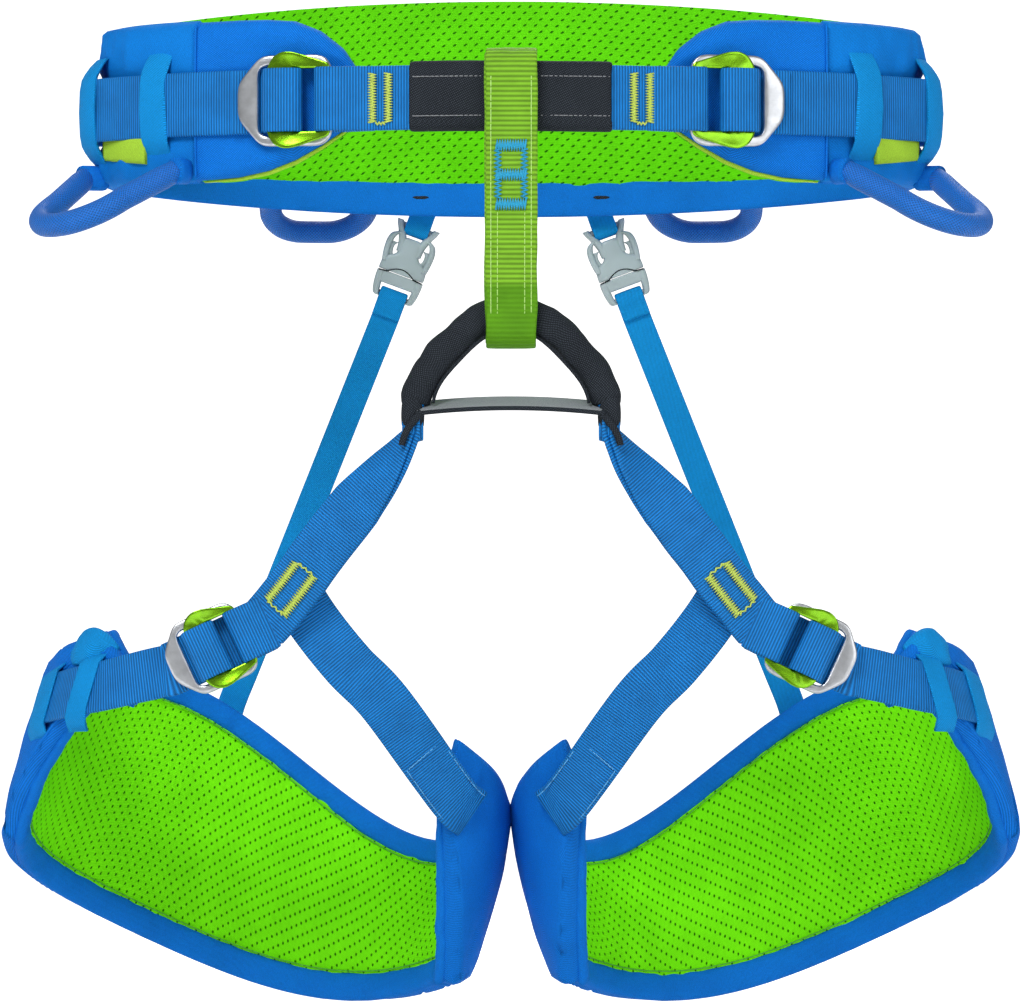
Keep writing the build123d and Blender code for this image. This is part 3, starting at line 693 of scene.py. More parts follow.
def tube_rings(path, radius, count=10):
    """Rings of a round cord along a path; radius may vary with the share of the way along."""
    rings, across = [], None
    last = len(path) - 1
    for i, p in enumerate(path):
        ahead = (path[min(i + 1, last)] - path[max(i - 1, 0)]).normalized()
        across = across or ahead.orthogonal()
        across = (across - ahead * across.dot(ahead)).normalized()
        other = ahead.cross(across)
        r = radius(i / last) if callable(radius) else radius
        rings.append([p + across * (cos(2 * pi * k / count) * r)
                      + other * (sin(2 * pi * k / count) * r) for k in range(count)])
    return rings


def stitched(seat, first, last, pitch=2.6, lift=0.3, radius=0.28, depth=0.55):
    """A running stitch over a surface, seat(s, t), between two (s, t) corners."""
    length = (seat(*last, 0) - seat(*first, 0)).length
    count = max(4, int(length / pitch) * 6)
    path = []
    for i in range(count + 1):
        t = i / count
        s, r = first[0] + (last[0] - first[0]) * t, first[1] + (last[1] - first[1]) * t
        wave = cos(2 * pi * t * length / pitch)
        path.append(seat(s, r, lift - depth * (0.5 - 0.5 * wave) ** 3))
    return skin(tube_rings(path, radius, 5))


def zigzag(seat, first, last, width, pitch=1.3, lift=0.35, radius=0.42):
    """A bar tack: thread sewn to and fro between two (s, t) corners of a surface."""
    span = Vector((last[0] - first[0], last[1] - first[1]))
    across = Vector((-span.y, span.x)).normalized() * width / 2
    count = max(2, int(span.length / pitch * 2))
    path = []
    for i in range(count + 1):
        at = Vector(first) + span * (i / count) + across * (1 if i % 2 else -1)
        path.append(seat(at.x, at.y, lift))
        if i < count:
            near = Vector(first) + span * ((i + 0.5) / count)
            path.append(seat(near.x, near.y, lift + 0.15))
    return skin(tube_rings(path, radius, 5))


def hip_bow(angle):
    """How far the webbing stands off the belt round each hip."""
    from_hip = abs(abs(angle - 90) - 92)
    return 5.0 * max(0.0, 1 - (from_hip / 24) ** 2) ** 1.3


def waist_webbing():
    def ring(a):
        lift = 6 * back_share(a)
        return [(o, r + lift) for o, r in slab(WAIST_WEB_WIDTH, 1.9, 10, 0.12,
                                            shift=5.95 + hip_bow(a))]
    start = front_angle(101.5)
    angles = spread(start, 180 - start, 260)
    add_piece("waist_webbing_band", skin(band(angles, ring, belt_point, 0.3, 16, 1.0), middle=5),
              web_blue, "waist_belt", "waist_webbing")


def webbing_keepers(name, side):
    point = surface(belt_point, side)
    bands = []
    for middle, half in ((-33.0, 3.1), (-8.0, 5.4)):
        def ring(a, middle=middle, half=half):
            share = (a - middle) / half
            lip = 0.25 * (1 - share * share)
            outer = [(0.6, -24.6), (3.6, -23.4), (5.2, -20.5), (6.6, -17.5), (7.6, -14.8),
                     (8.1, -10), (8.25, 0), (8.1, 10), (7.6, 14.8), (6.6, 17.5), (5.2, 20.5),
                     (3.6, 23.4), (0.6, 24.6)]
            bow = hip_bow(a)
            outer = [(o + lip + bow * max(0.0, 1 - (r / 24.5) ** 2) ** 0.4, r) for o, r in outer]
            return outer + [(o - 1.15, r * 0.985) for o, r in reversed(outer)]

        def curved(a, rise, offset, middle=middle, half=half):
            # The hip keeper bows forward at its middle and hugs the belt at its ends
            bow = (1.3 if middle < -20 else -0.9) * (1 - (rise / 24) ** 2)
            return point(a + bow, rise, offset)
        turns = spread(middle - half, middle + half, 26)
        bands.append(skin(band(turns, ring, curved, 0.25, 8, 2.0)))
    add_piece(f"keeper_bands_{name}", joined(bands), elastic_blue, "waist_belt",
              f"webbing_keepers_{name}")

    def patch_ring(a):
        return pad_ring(-23.5 + 0.2 * (a + 20), -12.2, 6.6, 3.0, None, None, 5, 3)
    add_piece(f"hip_patch_{name}", skin(band(spread(-29.5, -13.5, 24), patch_ring, point, 0.3, 6)),
              lime_trim, "waist_belt", None)


# ---------------------------------------------------------------- buckles

class Seat:
    """Where a buckle lies: along runs to its inner end, outward is away from the body."""

    def __init__(self, origin, along, outward, scale):
        self.origin, self.scale = origin, scale
        self.along = along.normalized()
        self.outward = (outward - self.along * outward.dot(self.along)).normalized()
        self.across = self.outward.cross(self.along)

    def at(self, along, across, outward):
        return self.origin + (self.along * along + self.across * across
                              + self.outward * outward) * self.scale


def waist_seat(side):
    angle = front_angle(WAIST_BUCKLE_X)
    angle = angle if side > 0 else 180 - angle
    outward = belt_normal(angle)
    return Seat(belt_point(angle, 0, 4.4), UP.cross(outward) * -side, outward, 1.0)


def leg_seat(side):
    tilt = radians(25)
    return Seat(Vector((side * 130, -74, -237.5)), Vector((-side * cos(tilt), 0, sin(tilt))),
                Vector((side * 0.2, -0.98, 0)), LEG_WEB_WIDTH / WAIST_WEB_WIDTH + 0.03)


def outline_radius(outline, centre, angle):
    """Distance from a centre to a closed outline, in one direction."""
    dx, dy = cos(angle), sin(angle)
    for (x1, y1), (x2, y2) in zip(outline, outline[1:] + outline[:1]):
        ex, ey = x2 - x1, y2 - y1
        det = dx * -ey + dy * ex
        if abs(det) < 1e-9:
            continue
        px, py = x1 - centre[0], y1 - centre[1]
        t = (px * -ey + py * ex) / det
        s = (dx * py - dy * px) / det
        if t > 0 and -1e-6 <= s <= 1 + 1e-6:
            return t
    return 1.0


def softened(values, passes):
    """A closed run of numbers with its corners eased."""
    for _ in range(passes):
        values = [(values[i - 1] + 2 * values[i] + values[(i + 1) % len(values)]) / 4
                  for i in range(len(values))]
    return values


def plate(seat, outer, inner, centre, low, high, bend, ease=4):
    """A flat metal ring between two outlines, its edges rounded over."""
    count = 150
    turns = [2 * pi * i / count for i in range(count)]
    wide = softened([outline_radius(outer, centre, t) for t in turns], ease)
    narrow = softened([outline_radius(inner, centre, t) for t in turns], ease)
    rings = []
    for t, far, near in zip(turns, wide, narrow):
        ring = []
        middle, half = (far + near) / 2, (far - near) / 2
        for o, r in oval((high - low) / 2, half, 20, power=3.4):
            x = centre[0] + (middle + r) * cos(t)
            y = centre[1] + (middle + r) * sin(t)
            ring.append(seat.at(x, y, (low + high) / 2 + o + bend(x, y)))
        rings.append(ring)
    return skin(rings + [rings[0]])


def buckle(kind, name, seat, body, slider_body):
    frame_outline = [(-21.6, -7.5), (-11, -19.6), (17, -19.6), (21, -15), (21, 15), (17, 19.6),
                     (-11, 19.6), (-21.6, 7.5)]
    window_outline = [(-12, -15), (17, -15), (17, 15), (-12, 15)]
    add_piece(f"{kind}_frame_{name}",
              plate(seat, frame_outline, window_outline, (2.5, 0), 3.0, 5.8, lambda x, y: 0, 12),
              alloy_silver, body, f"{kind}_buckle_frame_{name}")
    ears = [(-7.5, -14.6), (-4.5, -19), (0, -21), (5, -20.6), (20.8, -15.6), (20.8, 15.6),
            (5, 20.6), (0, 21), (-4.5, 19), (-7.5, 14.6)]
    hole = [(5, -13.4), (17.2, -13.4), (17.2, 13.4), (5, 13.4)]

    def lifted(x, y):
        ear = max(0.0, abs(y) - 15.0) / 6
        return 1.6 * ear ** 1.5 - 0.25 * (1 if abs(y) < 14 and x < 6 else 0)
    add_piece(f"{kind}_slider_{name}", plate(seat, ears, hole, (10.5, 0), 6.5, 8.4, lifted, 3),
              alloy_green, slider_body, f"{kind}_buckle_slider_{name}")


def webbing_wrap(piece_name, seat, width, tail):
    """Webbing wrapped round the slider's outer bar, then out under the frame's outer bar."""
    route = [(tail[0], tail[1]), (tail[0] * 0.7 - 5.2, (tail[1] + 2.0) / 2), (-14, 1.7),
             (-8.6, 4.2), (-8.9, 6.6), (-8.2, 9.0), (-5.8, 10.5), (-1, 10.9), (3.6, 10.6),
             (6.4, 9.2), (7.4, 7.0), (6.8, 4.6), (4.6, 3.0), (0.0, 2.5), (-8, 2.0), (-13.5, 0.9)]
    points = smooth_path([seat.at(x, 0, w) for x, w in route], 90)
    rings = strap_rings(points, [seat.across] * 90, width, 1.35 * seat.scale, 10, 0.1)
    piece = add_piece(piece_name, skin(rings, middle=5), web_blue, None, None)
    seat.at(-14, 0, 4) * MM
    seat.at(-7, 0, 8) * MM
    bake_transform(piece)


# ---------------------------------------------------------------- tie-in point and belay loop

TIE_END = waist_seat(1).at(40, 0, 5.85)
TIE_DEPTH = TIE_END.y - FRONT_Y
TIE_RADIUS = (TIE_END.x ** 2 + TIE_DEPTH ** 2) / (2 * TIE_DEPTH)


def tie_point(x, rise=0.0, offset=0.0):
    """On the tie-in webbing, by its distance from the middle."""
    turn = x / TIE_RADIUS
    r = TIE_RADIUS + offset
    return Vector((r * sin(turn), FRONT_Y + TIE_RADIUS - r * cos(turn), rise))


def eye_route(seat, far, inner):
    """Webbing that comes off a long strap, round the buckle's inner bars and back."""
    front = [seat.at(x, 0, w) for x, w in
             ((far, 7.4), (34, 8.6), (28, 9.9), (23.5, 10.7), (19, 10.9), (15.6, 9.6), (14.5, 6.6))]
    back = [seat.at(x, 0, w) for x, w in ((14.7, 4.0), (16.2, 1.4), (20, 0.8), (26, 1.6),
                                          (32, 3.0), (far, 4.4))]
    return front + back if not inner else list(reversed(front + back))


def tie_in():
    left, right = waist_seat(-1), waist_seat(1)
    half = TIE_END.x - 1
    front = [tie_point(x, 0, 1.3) for x in spread(-half, half, 9)]
    route = eye_route(left, 40, True) + front + eye_route(right, 40, False)
    back = [tie_point(x, 0, -1.3) for x in spread(-half, half, 60)]
    path = smooth_path(route, 330)
    outer = skin(strap_rings(path, [UP] * 330, 27.6, 1.9, 10, 0.1), middle=5)
    inner = skin(strap_rings(back, [UP] * 60, 27.4, 2.0, 8), middle=5)
    add_piece("tie_in_web", joined([outer, inner]), web_blue, "waist_belt", "tie_in_webbing")
    tacks = []
    for side in SIDES.values():
        def seat(s, t, lift, side=side):
            return tie_point(side * s, t, 2.35 + lift)
        for x in (48.5, 55.5):
            tacks.append(zigzag(seat, (x + 4, -10.5), (x + 4, 10.5), 3.6, 1.15))
        tacks.append(zigzag(seat, (54, -11), (58, -11), 1.2, 1.5))
    add_piece("waist_bar_tacks", joined(tacks), thread_lime, "waist_belt")


def tie_in_sleeve():
    def ring(x):
        full = min(1.0, (SLEEVE_HALF_LENGTH - abs(x)) / 2.0) ** 0.5
        return [(o, r * (0.985 + 0.02 * full) + 0.4)
                for o, r in slab(30.0, 6.4 + 1.6 * full, 12, 0.7 * full, 0.3)]
    rings = [[tie_point(x, r, o + ripple(tie_point(x, r), 0.5, 6)) for o, r in ring(x)]
             for x in spread(-SLEEVE_HALF_LENGTH, SLEEVE_HALF_LENGTH, 90)]
    piece = add_piece("tie_in_cover", skin(rings, middle=6), cloth_grey, "waist_belt",
                      "tie_in_sleeve")
    puffed(piece, 0.5)

    def seat(s, t, lift):
        return tie_point(s, t, 4.35 + lift)
    rows = [stitched(seat, (side * 41.5, rise), (side * 12.5, rise), 2.1, 0.35, 0.26)
            for side in SIDES.values() for rise in (8.6, -8.2)]
    add_piece("sleeve_stitches", joined(rows), thread_grey, "waist_belt")


def belay_path(radius):
    """Middle line of one layer of the loop, seen from the side; it starts at the back."""
    top, low = Vector((0, FRONT_Y, BELAY_TOP_Z)), Vector((0, FRONT_Y, BELAY_LOW_Z))
    points = [top + Vector((0, cos(t), sin(t))) * radius for t in spread(0, pi, 14)]
    points += [top.lerp(low, s) + Vector((0, -radius, 0)) for s in spread(0.03, 0.97, 40)]
    points += [low + Vector((0, -cos(t), -sin(t))) * radius for t in spread(0, pi, 14)]
    points += [low.lerp(top, s) + Vector((0, radius, 0)) for s in spread(0.03, 0.97, 40)]
    return smooth_path(points + [points[0]], 151)[:-1]


def belay_loop():
    layers = []
    for radius, width, shift in ((9.7, 22.0, 0.25), (7.95, 21.2, -0.7)):
        path = belay_path(radius)
        rings = []
        for i, p in enumerate(path):
            ahead = path[(i + 1) % len(path)] - path[i - 1]
            outward = Vector((1, 0, 0)).cross(ahead).normalized() * -1
            middle = Vector((0, FRONT_Y, min(BELAY_TOP_Z, max(BELAY_LOW_Z, p.z))))
            if outward.dot(p - middle) < 0:
                outward = outward * -1
            wander = noise.noise(Vector((radius, p.y / 30, p.z / 16))) * 0.45
            pinch = 1 - 0.035 * window(p.z, -112, -92)
            rings.append([p + outward * (o + ripple(p + Vector((r, 0, 0)), 0.2, 5))
                          + Vector((r * pinch + shift + wander, 0, 0))
                          for o, r in slab(width, 1.7, 10, 0.15)])
        layers.append(skin(rings + [rings[0]], middle=5))
    add_piece("belay_strap", joined(layers), web_green, "belay_loop", "belay_loop")

    def front(s, t, lift):
        return Vector((s, FRONT_Y - 10.7 - lift, t))
    tacks = [zigzag(front, (-6.4, z), (6.4, z), 5.0, 1.1, 0.35, 0.45) for z in (-21.5, -34, -46.5)]
    tacks += [zigzag(front, (x, -44), (x, -23), 3.0, 1.7, 0.25, 0.4) for x in (-5.6, 5.6)]
    add_piece("belay_bar_tacks", joined(tacks), thread_blue, "belay_loop")
    rows = [stitched(front, (x, 8), (x, -93), 3.1, 0.18, 0.24) for x in (-8.6, 8.6)]
    rows += [stitched(front, (x, -50), (x, -93), 3.1, 0.18, 0.2) for x in (-5.8, 5.8)]
    add_piece("belay_stitches", joined(rows), thread_pale_green, "belay_loop")


# ---------------------------------------------------------------- bridge

def bridge_point(turn, radial, depth):
    """Round the arch: turn in degrees from the top, depth back from its middle."""
    t = radians(turn)
    r = BRIDGE_RADIUS - 3.6 * sin(2 * t) ** 2 - 1.6 * (turn / 90) ** 2 + radial
    return Vector((r * sin(t), FRONT_Y + depth, BRIDGE_Z + r * cos(t)))


def bridge():
    def padded_ring(turn):
        end = min(1.0, (86 - abs(turn)) / 6)
        fat = 0.82 + 0.18 * end ** 0.5
        return [(o * fat, r * fat) for o, r in oval(6.9, 6.2, 24, power=2.3)]
    rings = []
    for turn in spread(-85, 85, 130):
        ring = []
        for o, r in padded_ring(turn):
            at = bridge_point(turn, o, r)
            ring.append(bridge_point(turn, o + ripple(at, 0.9, 8), r + ripple(at, 0.9, 7, 4)))
        rings.append(ring)
    piece = add_piece("bridge_pad", skin(rings), cloth_grey, "waist_belt", "bridge_sleeve")
    puffed(piece, 0.5)
    hem = [bridge_point(turn, -7.0, -4.2 + 0.3 * sin(turn)) for turn in spread(-84, 84, 130)]
    add_piece("bridge_hem", skin(tube_rings(hem, 0.75, 7)), cloth_grey, "waist_belt")
    core = [[bridge_point(turn, o, r) for o, r in oval(3.3, 4.9, 16, power=4)]
            for turn in spread(-90, 90, 70)]
    add_piece("bridge_web", skin(core), web_blue, "waist_belt", "bridge_webbing")

    def strap_height(x):
        return -130.6 - 2.0 * (x / 37.5) ** 2
    across = spread(-40, 40, 70)
    rings = [[Vector((x, FRONT_Y + r, strap_height(x) + o + 0.3 * r))
              for o, r in slab(15, 1.6, 8, 0.1)] for x in across]
    edge = tube_rings([Vector((x, FRONT_Y - 7.6, strap_height(x) - 2.6)) for x in across], 0.95, 8)
    add_piece("bridge_strap", skin(rings, middle=4), tape_grey, "waist_belt",
              "bridge_cross_strap")
    collars = [skin(edge)]
    for side in SIDES.values():
        # Each collar folds round the webbing and its tail hangs on the outside
        rings = []
        for z in spread(-140.5, -128.5, 16):
            grow = 0.4 * window(z, -142, -130)
            rings.append([Vector((side * BRIDGE_RADIUS + o, FRONT_Y + r, z)) for o, r in
                          oval(4.6 + grow, 5.9 + grow, 20, power=3)])
        collars.append(skin(rings))
        tail = [Vector((side * x, FRONT_Y - 6.6, z)) for x, z in
                ((38, -134.5), (41, -138), (44, -142), (46, -146.5), (46.6, -149))]
        collars.append(skin(tube_rings(smooth_path(tail, 24), lambda t: 1.8 - 0.4 * t, 8)))
    add_piece("bridge_collars", joined(collars), cloth_grey, "waist_belt", None)


# ---------------------------------------------------------------- leg loops

def leg_normal(angle):
    a = radians(angle)
    level = Vector((-cos(a) / LEG_HALF_WIDTH, sin(a) / LEG_HALF_DEPTH, 0))
    return (level - LEG_LEAN * level.dot(LEG_LEAN)).normalized()


def leg_point(angle, rise, offset):
    """On the +X leg: 0 at the crotch, 90 at the back, 180 at the hip."""
    a = radians(angle)
    height = -317 - 37 * cos(a) - 25 * sin(a) + 6 * cos(3 * a)
    middle = Vector((LEG_CENTRE_X - LEG_HALF_WIDTH * cos(a), LEG_HALF_DEPTH * sin(a), height))
    return middle + LEG_LEAN * rise + leg_normal(angle) * offset


def leg_pad_width(angle):
    a = radians(angle)
    return 96.1 - 2 * cos(a) - 7.2 * sin(a) - 14.1 * cos(2 * a) - 17.6 * sin(2 * a)


def leg_top(angle):
    return leg_pad_width(angle) / 2 - max(0.0, angle - 222) * 1.75


def leg_bottom(angle):
    full = -leg_pad_width(angle) / 2
    if angle < -12:
        return full + (-12 - angle) / 28 * (leg_top(angle) - 25 - full)
    if angle > 185:
        return full + (angle - 185) / 53 * (leg_top(angle) - 9 - full)
    return full


def leg_pad(name, side):
    point = surface(leg_point, side)

    def ends(a):
        return min(1.0, (a + 41) / 9, (239 - a) / 9)

    def pad(a):
        low, high = leg_bottom(a), leg_top(a)
        full = ends(a)

        def swell(r):
            front = max(0.0, 1 - abs(a) / 45)
            loose = min(1.0, max(0.0, (196 - a) / 12))
            return full * (1.4 + 2.2 * front) * loose * window(r, low, high) ** 0.6
        return pad_ring(low, high, 1.5 + 2.5 * full, -1.2 - 2.4 * full, swell,
                        lambda r: 0.6 * window(r, low, high) * full, 16)
    piece = add_piece(f"leg_pad_{name}", skin(band(spread(-40.5, 238.5, 230), pad, point, 0.6, 15)),
                      cloth_blue, f"leg_{name}", [f"leg_cover_{name}", f"leg_foam_{name}"])
    # Places where the adjuster strap, rolled corner, riser and crotch strap hold the cloth down
    held = [point(a, r, 5) for a, r in ((199, 14), (209, 13), (219, 13), (229, 15), (238, 20),
                                        (222, 30), (RISER_ANGLE, 46), (-36, 30), (-42, 34))]
    puffed(piece, 1.8, side * LEG_CENTRE_X,
           lambda p: min(1.0, max(0.05, min((p - q).length for q in held) / 12 - 1)))

    def edge_widths(a):
        """Heights of the rolled borders above and below the mesh."""
        tall = leg_top(a) - leg_bottom(a)
        return min(11.5, tall * 0.28), min(9.5, tall * 0.24)

    def mesh(a):
        low_roll, high_roll = edge_widths(a)
        low, high = leg_bottom(a) + low_roll * 0.7, leg_top(a) - high_roll * 0.7
        return pad_ring(low, high, -2.2, -4.6, None,
                        lambda r: 1.5 * window(r, low, high) ** 0.7 * ends(a), 14, 3)
    angles = spread(-37.5, 235.5, 200)
    add_piece(f"leg_mesh_{name}", skin(band(angles, mesh, point, 0.9, 20, 2.0)), leg_mesh_lime,
              f"leg_{name}", f"leg_lining_{name}")
    rolls = []
    for upper in (False, True):
        def roll(a, upper=upper):
            low_roll, high_roll = edge_widths(a)
            width = high_roll if upper else low_roll
            middle = leg_top(a) - width / 2 + 0.8 if upper else leg_bottom(a) + width / 2 - 0.8
            fat = 2.9 * (0.35 + 0.65 * ends(a))
            pucker = 1 + 0.05 * sin(radians(a) * 95) * noise.noise(Vector((a / 7, side, upper)))
            return [(o * pucker - 3.6, r) for o, r in oval(fat, width / 2 + 0.8, 18, rise=middle)]
        rolls.append(skin(band(spread(-38.5, 236.5, 260), roll, point, 0.9, 6, 9.0 + upper)))
    add_piece(f"leg_edges_{name}", joined(rolls), edge_blue, f"leg_{name}", f"leg_binding_{name}")
    lines = []
    for upper in (False, True):
        def line(s, t, lift, upper=upper):
            low_roll, high_roll = edge_widths(s)
            rise = leg_top(s) - high_roll - 0.6 if upper else leg_bottom(s) + low_roll + 0.6
            return point(s, rise, -5.6 - lift)
        for start in range(-30, 225, 15):
            lines.append(stitched(line, (start, 0), (start + 15, 0), 3.0, 0.4, 0.3))
    add_piece(f"leg_edge_stitches_{name}", joined(lines), thread_green, f"leg_{name}")
    # Raised seams along the outer face, one of them across the smooth panel at the crotch
    seams = []
    for share in (0.27, 0.9):
        def seam(a, share=share):
            low, high = leg_bottom(a), leg_top(a)
            rise = high - (high - low) * share
            puff = ((1.4 + 2.2 * max(0.0, 1 - abs(a) / 45)) * window(rise, low, high) ** 0.6
                    * min(1.0, max(0.0, (196 - a) / 12)))
            return point(a, rise, 1.5 + 2.5 * ends(a) + puff * ends(a))
        path = [seam(a) for a in spread(-37, 234, 240)]
        seams.append(skin(tube_rings(path, lambda t: 0.3 + 0.5 * min(1, 12 * t, 12 - 12 * t), 7)))
    add_piece(f"leg_seams_{name}", joined(seams), edge_blue, f"leg_{name}", None)


def front_strap(name, side):
    """Two layers of webbing, edge on at the bridge and turning flat towards the buckle."""
    seat = leg_seat(side)
    flat = seat.across if seat.across.z > 0 else seat.across * -1
    end = seat.at(30, 0, 5.85)
    centres = [(42, -92.4, -134), (42.6, -92.4, -142), (47, -92.2, -150), (55, -91.2, -161),
               (69, -88.8, -178), (83, -85.6, -196), (95, -82.2, -212)]
    middle = [mirrored(p, side) for p in centres] + [end]
    count = 150
    path = smooth_path(middle, count)
    layers, frames = [], []
    for layer, lean in ((0, -1.15), (1, 1.15)):
        rings = []
        for i, p in enumerate(path):
            t = i / (count - 1)
            turn = min(1.0, t / 0.55)
            turn = turn ** 0.8 * (1.4 - 0.4 * turn)
            up = (Vector((0, 1, 0)) * (1 - turn) + flat * turn).normalized()
            ahead = (path[min(i + 1, count - 1)] - path[max(i - 1, 0)]).normalized()
            up = (up - ahead * up.dot(ahead)).normalized()
            outward = ahead.cross(up).normalized() * side
            width = 10 + (23.5 - 10) * min(1.0, t / 0.42) ** 0.8
            cup = 2.2 * (1 - turn) + 0.5 * window(t, 0.3, 1)
            skew = (1 - turn) * (1.6 if layer else -0.6)
            if layer:
                frames.append((p, up, outward))
            rings.append(placed([(o + lean - cup * (r / width) ** 2 * 2, r + skew)
                                 for o, r in slab(width, 1.9, 10, 0.1)],
                                p + up * ripple(p, 0.5, 15), outward, up))
        layers.append(skin(rings, middle=5))
    eye = smooth_path(eye_route(seat, 31, True), 130)
    layers.append(skin(strap_rings(eye, [seat.across] * 130, 23.4, 1.7, 10, 0.1), middle=5))
    knuckle = [mirrored(Vector((x, -92.4, -142)), side) for x in spread(37.5, 46.5, 10)]
    layers.append(skin(tube_rings(knuckle, lambda t: 4.9 + 0.9 * sin(pi * t), 20)))
    strap = add_piece(f"front_strap_web_{name}", joined(layers), web_blue, None,
                      f"front_strap_{name}")
    mirrored(Vector((42, -92.4, -139)), side) * MM
    mirrored(Vector((50, -92.4, -152)), side) * MM
    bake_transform(strap)
    tack_centre = mirrored(Vector((92, -83, -208.5)), side)
    near = min(range(count), key=lambda i: (path[i] - tack_centre).length)
    step = (path[near + 1] - path[near]).length

    def on_strap(s, t, lift):
        at = near + s / step
        k = int(at)
        p, up, outward = frames[k]
        return p.lerp(frames[k + 1][0], at - k) + up * t + outward * (2.35 + lift)
    tacks = [zigzag(on_strap, (-7.5, t), (13.5, t), 4.2, 1.15) for t in (5.0, -4.6)]
    tacks += [zigzag(on_strap, (s, -4.2), (s, 4.6), 1.0, 2.6) for s in (-7.8, 13.8)]
    add_piece(f"leg_bar_tacks_{name}", joined(tacks), thread_lime, f"leg_{name}")


def leg_strap_rings(on_leg, lean, count, free):
    """Rings of webbing through points on the leg, then free (point, width direction) pairs."""
    path = on_leg + [p for p, _ in free]
    keys = [lean] * len(on_leg) + [up for _, up in free]
    smooth = smooth_path(path, count)
    lengths = [0.0]
    for p, q in zip(path, path[1:]):
        lengths.append(lengths[-1] + (q - p).length)
    turned = []
    for i in range(count):
        target = lengths[-1] * i / (count - 1)
        k = max(j for j in range(len(path) - 1) if lengths[j] <= target + 1e-6)
        share = (target - lengths[k]) / (lengths[k + 1] - lengths[k])
        turned.append(keys[k].lerp(keys[k + 1], min(1, share)).normalized())
    return strap_rings(smooth, turned, LEG_WEB_WIDTH, 1.9, 10, 0.1)


def adjuster_strap(name, side):
    """Webbing from the hip end of the pad to the buckle, and its tail behind the hip."""
    point, seat = surface(leg_point, side), leg_seat(side)
    flat = seat.across if seat.across.z > 0 else seat.across * -1
    stations = ((200, 14), (208, 13), (216, 12.6), (223, 13.4), (230, 15.5), (238, 20.5),
                (245, 26.6))
    on_leg = [point(a, r, WEB_STAND_OFF) for a, r in stations]
    lean = (point(90, 1, 0) - point(90, 0, 0)).normalized()
    free = [(seat.at(x, 0, o), flat) for x, o in ((-21, 0.6), (-8, 0.2), (10, -0.9), (27, -1.6))]
    rings = leg_strap_rings(on_leg, lean, 110, free)
    add_piece(f"adjuster_web_{name}", skin(rings, middle=5), web_blue, f"leg_{name}",
              f"adjuster_strap_{name}")
    bands = []
    for first, last in ((219.3, 226.3), (198, 209)):
        def ring(a, first=first, last=last):
            outer = [(3.0, -5), (5.4, -2.4), (7.6, 0.6), (8.0, 5), (8.15, 13), (8.0, 21),
                     (7.6, 25.4), (5.4, 28.6), (3.0, 31)]
            return outer + [(o - 1.0, 13 + (r - 13) * 0.97) for o, r in reversed(outer)]
        bands.append(skin(band(spread(first, last, 22), ring, point, 0.3, 8, 4.0)))

    def corner(a):
        share = sin(pi * (a - 207) / 21.5) ** 0.8
        return oval(2.4 * share + 0.4, 8.0 * share + 0.5, 16, 4.4 * share, 32.5 + 1.5 * share)
    bands.append(skin(band(spread(207.5, 228, 40), corner, point, 1.2, 7, 6.0)))
    add_piece(f"leg_keeper_cloth_{name}", joined(bands), elastic_blue, f"leg_{name}",
              f"strap_keepers_{name}")


def crotch_strap(name, side):
    point = surface(leg_point, side)
    fall = mirrored(Vector((-0.62, 0, -0.78)), side)
    across = fall.cross(Vector((0, -1, 0))).normalized()
    across = across if across.z > 0 else across * -1
    lean = mirrored(LEG_LEAN, side)
    path = [mirrored(Vector(p), side) for p in ((95, -77, -209), (84, -76.6, -226),
                                               (70, -75.6, -243.5), (54, -71.5, -260.5))]
    path += [point(-41, 33, 7.2), point(-32, 28, 7.6)]
    keys = [across, across, across, across, (across + lean).normalized(),
            (across + lean * 1.5).normalized()]
    count = 90
    smooth = smooth_path(path, count)
    ups = []
    for i in range(count):
        s = i / (count - 1) * (len(keys) - 1)
        k = min(int(s), len(keys) - 2)
        ups.append(keys[k].lerp(keys[k + 1], s - k).normalized())
    add_piece(f"crotch_web_{name}",
              skin(strap_rings(smooth, ups, LEG_WEB_WIDTH, 2.0, 10, 0.1), middle=5), web_blue,
              f"leg_{name}", f"crotch_strap_{name}")
    ahead = (smooth[80] - smooth[66]).normalized()
    up = (ups[72] - ahead * ups[72].dot(ahead)).normalized()
    outward = ahead.cross(up)
    if outward.y > 0:
        outward = outward * -1

    def on_strap(s, t, lift):
        k = max(0, min(count - 1, round(72 + s)))
        return smooth[k] + up * t + outward * (1.15 + lift)
    rows = [stitched(on_strap, (-9, -9), (-9, 9), 2.2, 0.35, 0.24),
            stitched(on_strap, (-9, -10), (14, -10), 2.2, 0.35, 0.24),
            stitched(on_strap, (-9, 10), (14, 10), 2.2, 0.35, 0.24)]
    add_piece(f"crotch_stitches_{name}", joined(rows), thread_pale, f"leg_{name}")


# ---------------------------------------------------------------- risers and clips

class ClipSeat:
    """Along the clip from the belt down, across it, and away from the wearer."""

    def __init__(self, side):
        self.along = mirrored(CLIP_DIRECTION, side)
        back = Vector((0, 1, 0))
        self.back = (back - self.along * back.dot(self.along)).normalized()
        self.across = self.back.cross(self.along)
        self.origin = mirrored(CLIP_ORIGIN, side)

    def at(self, along, across, back):
        return self.origin + self.along * along + self.across * across + self.back * back


def clip_body(seat, outline):
    """A moulded block: its half width and half thickness at stations along the clip."""
    return skin([[seat.at(s, r, o) for o, r in oval(thick, half, 28, power=3.6)]
                 for s, half, thick in outline])


def eased(stations, count):
    """Stations of three numbers, made into a smooth run."""
    return [tuple(p) for p in smooth_path([Vector(s) for s in stations], count)]


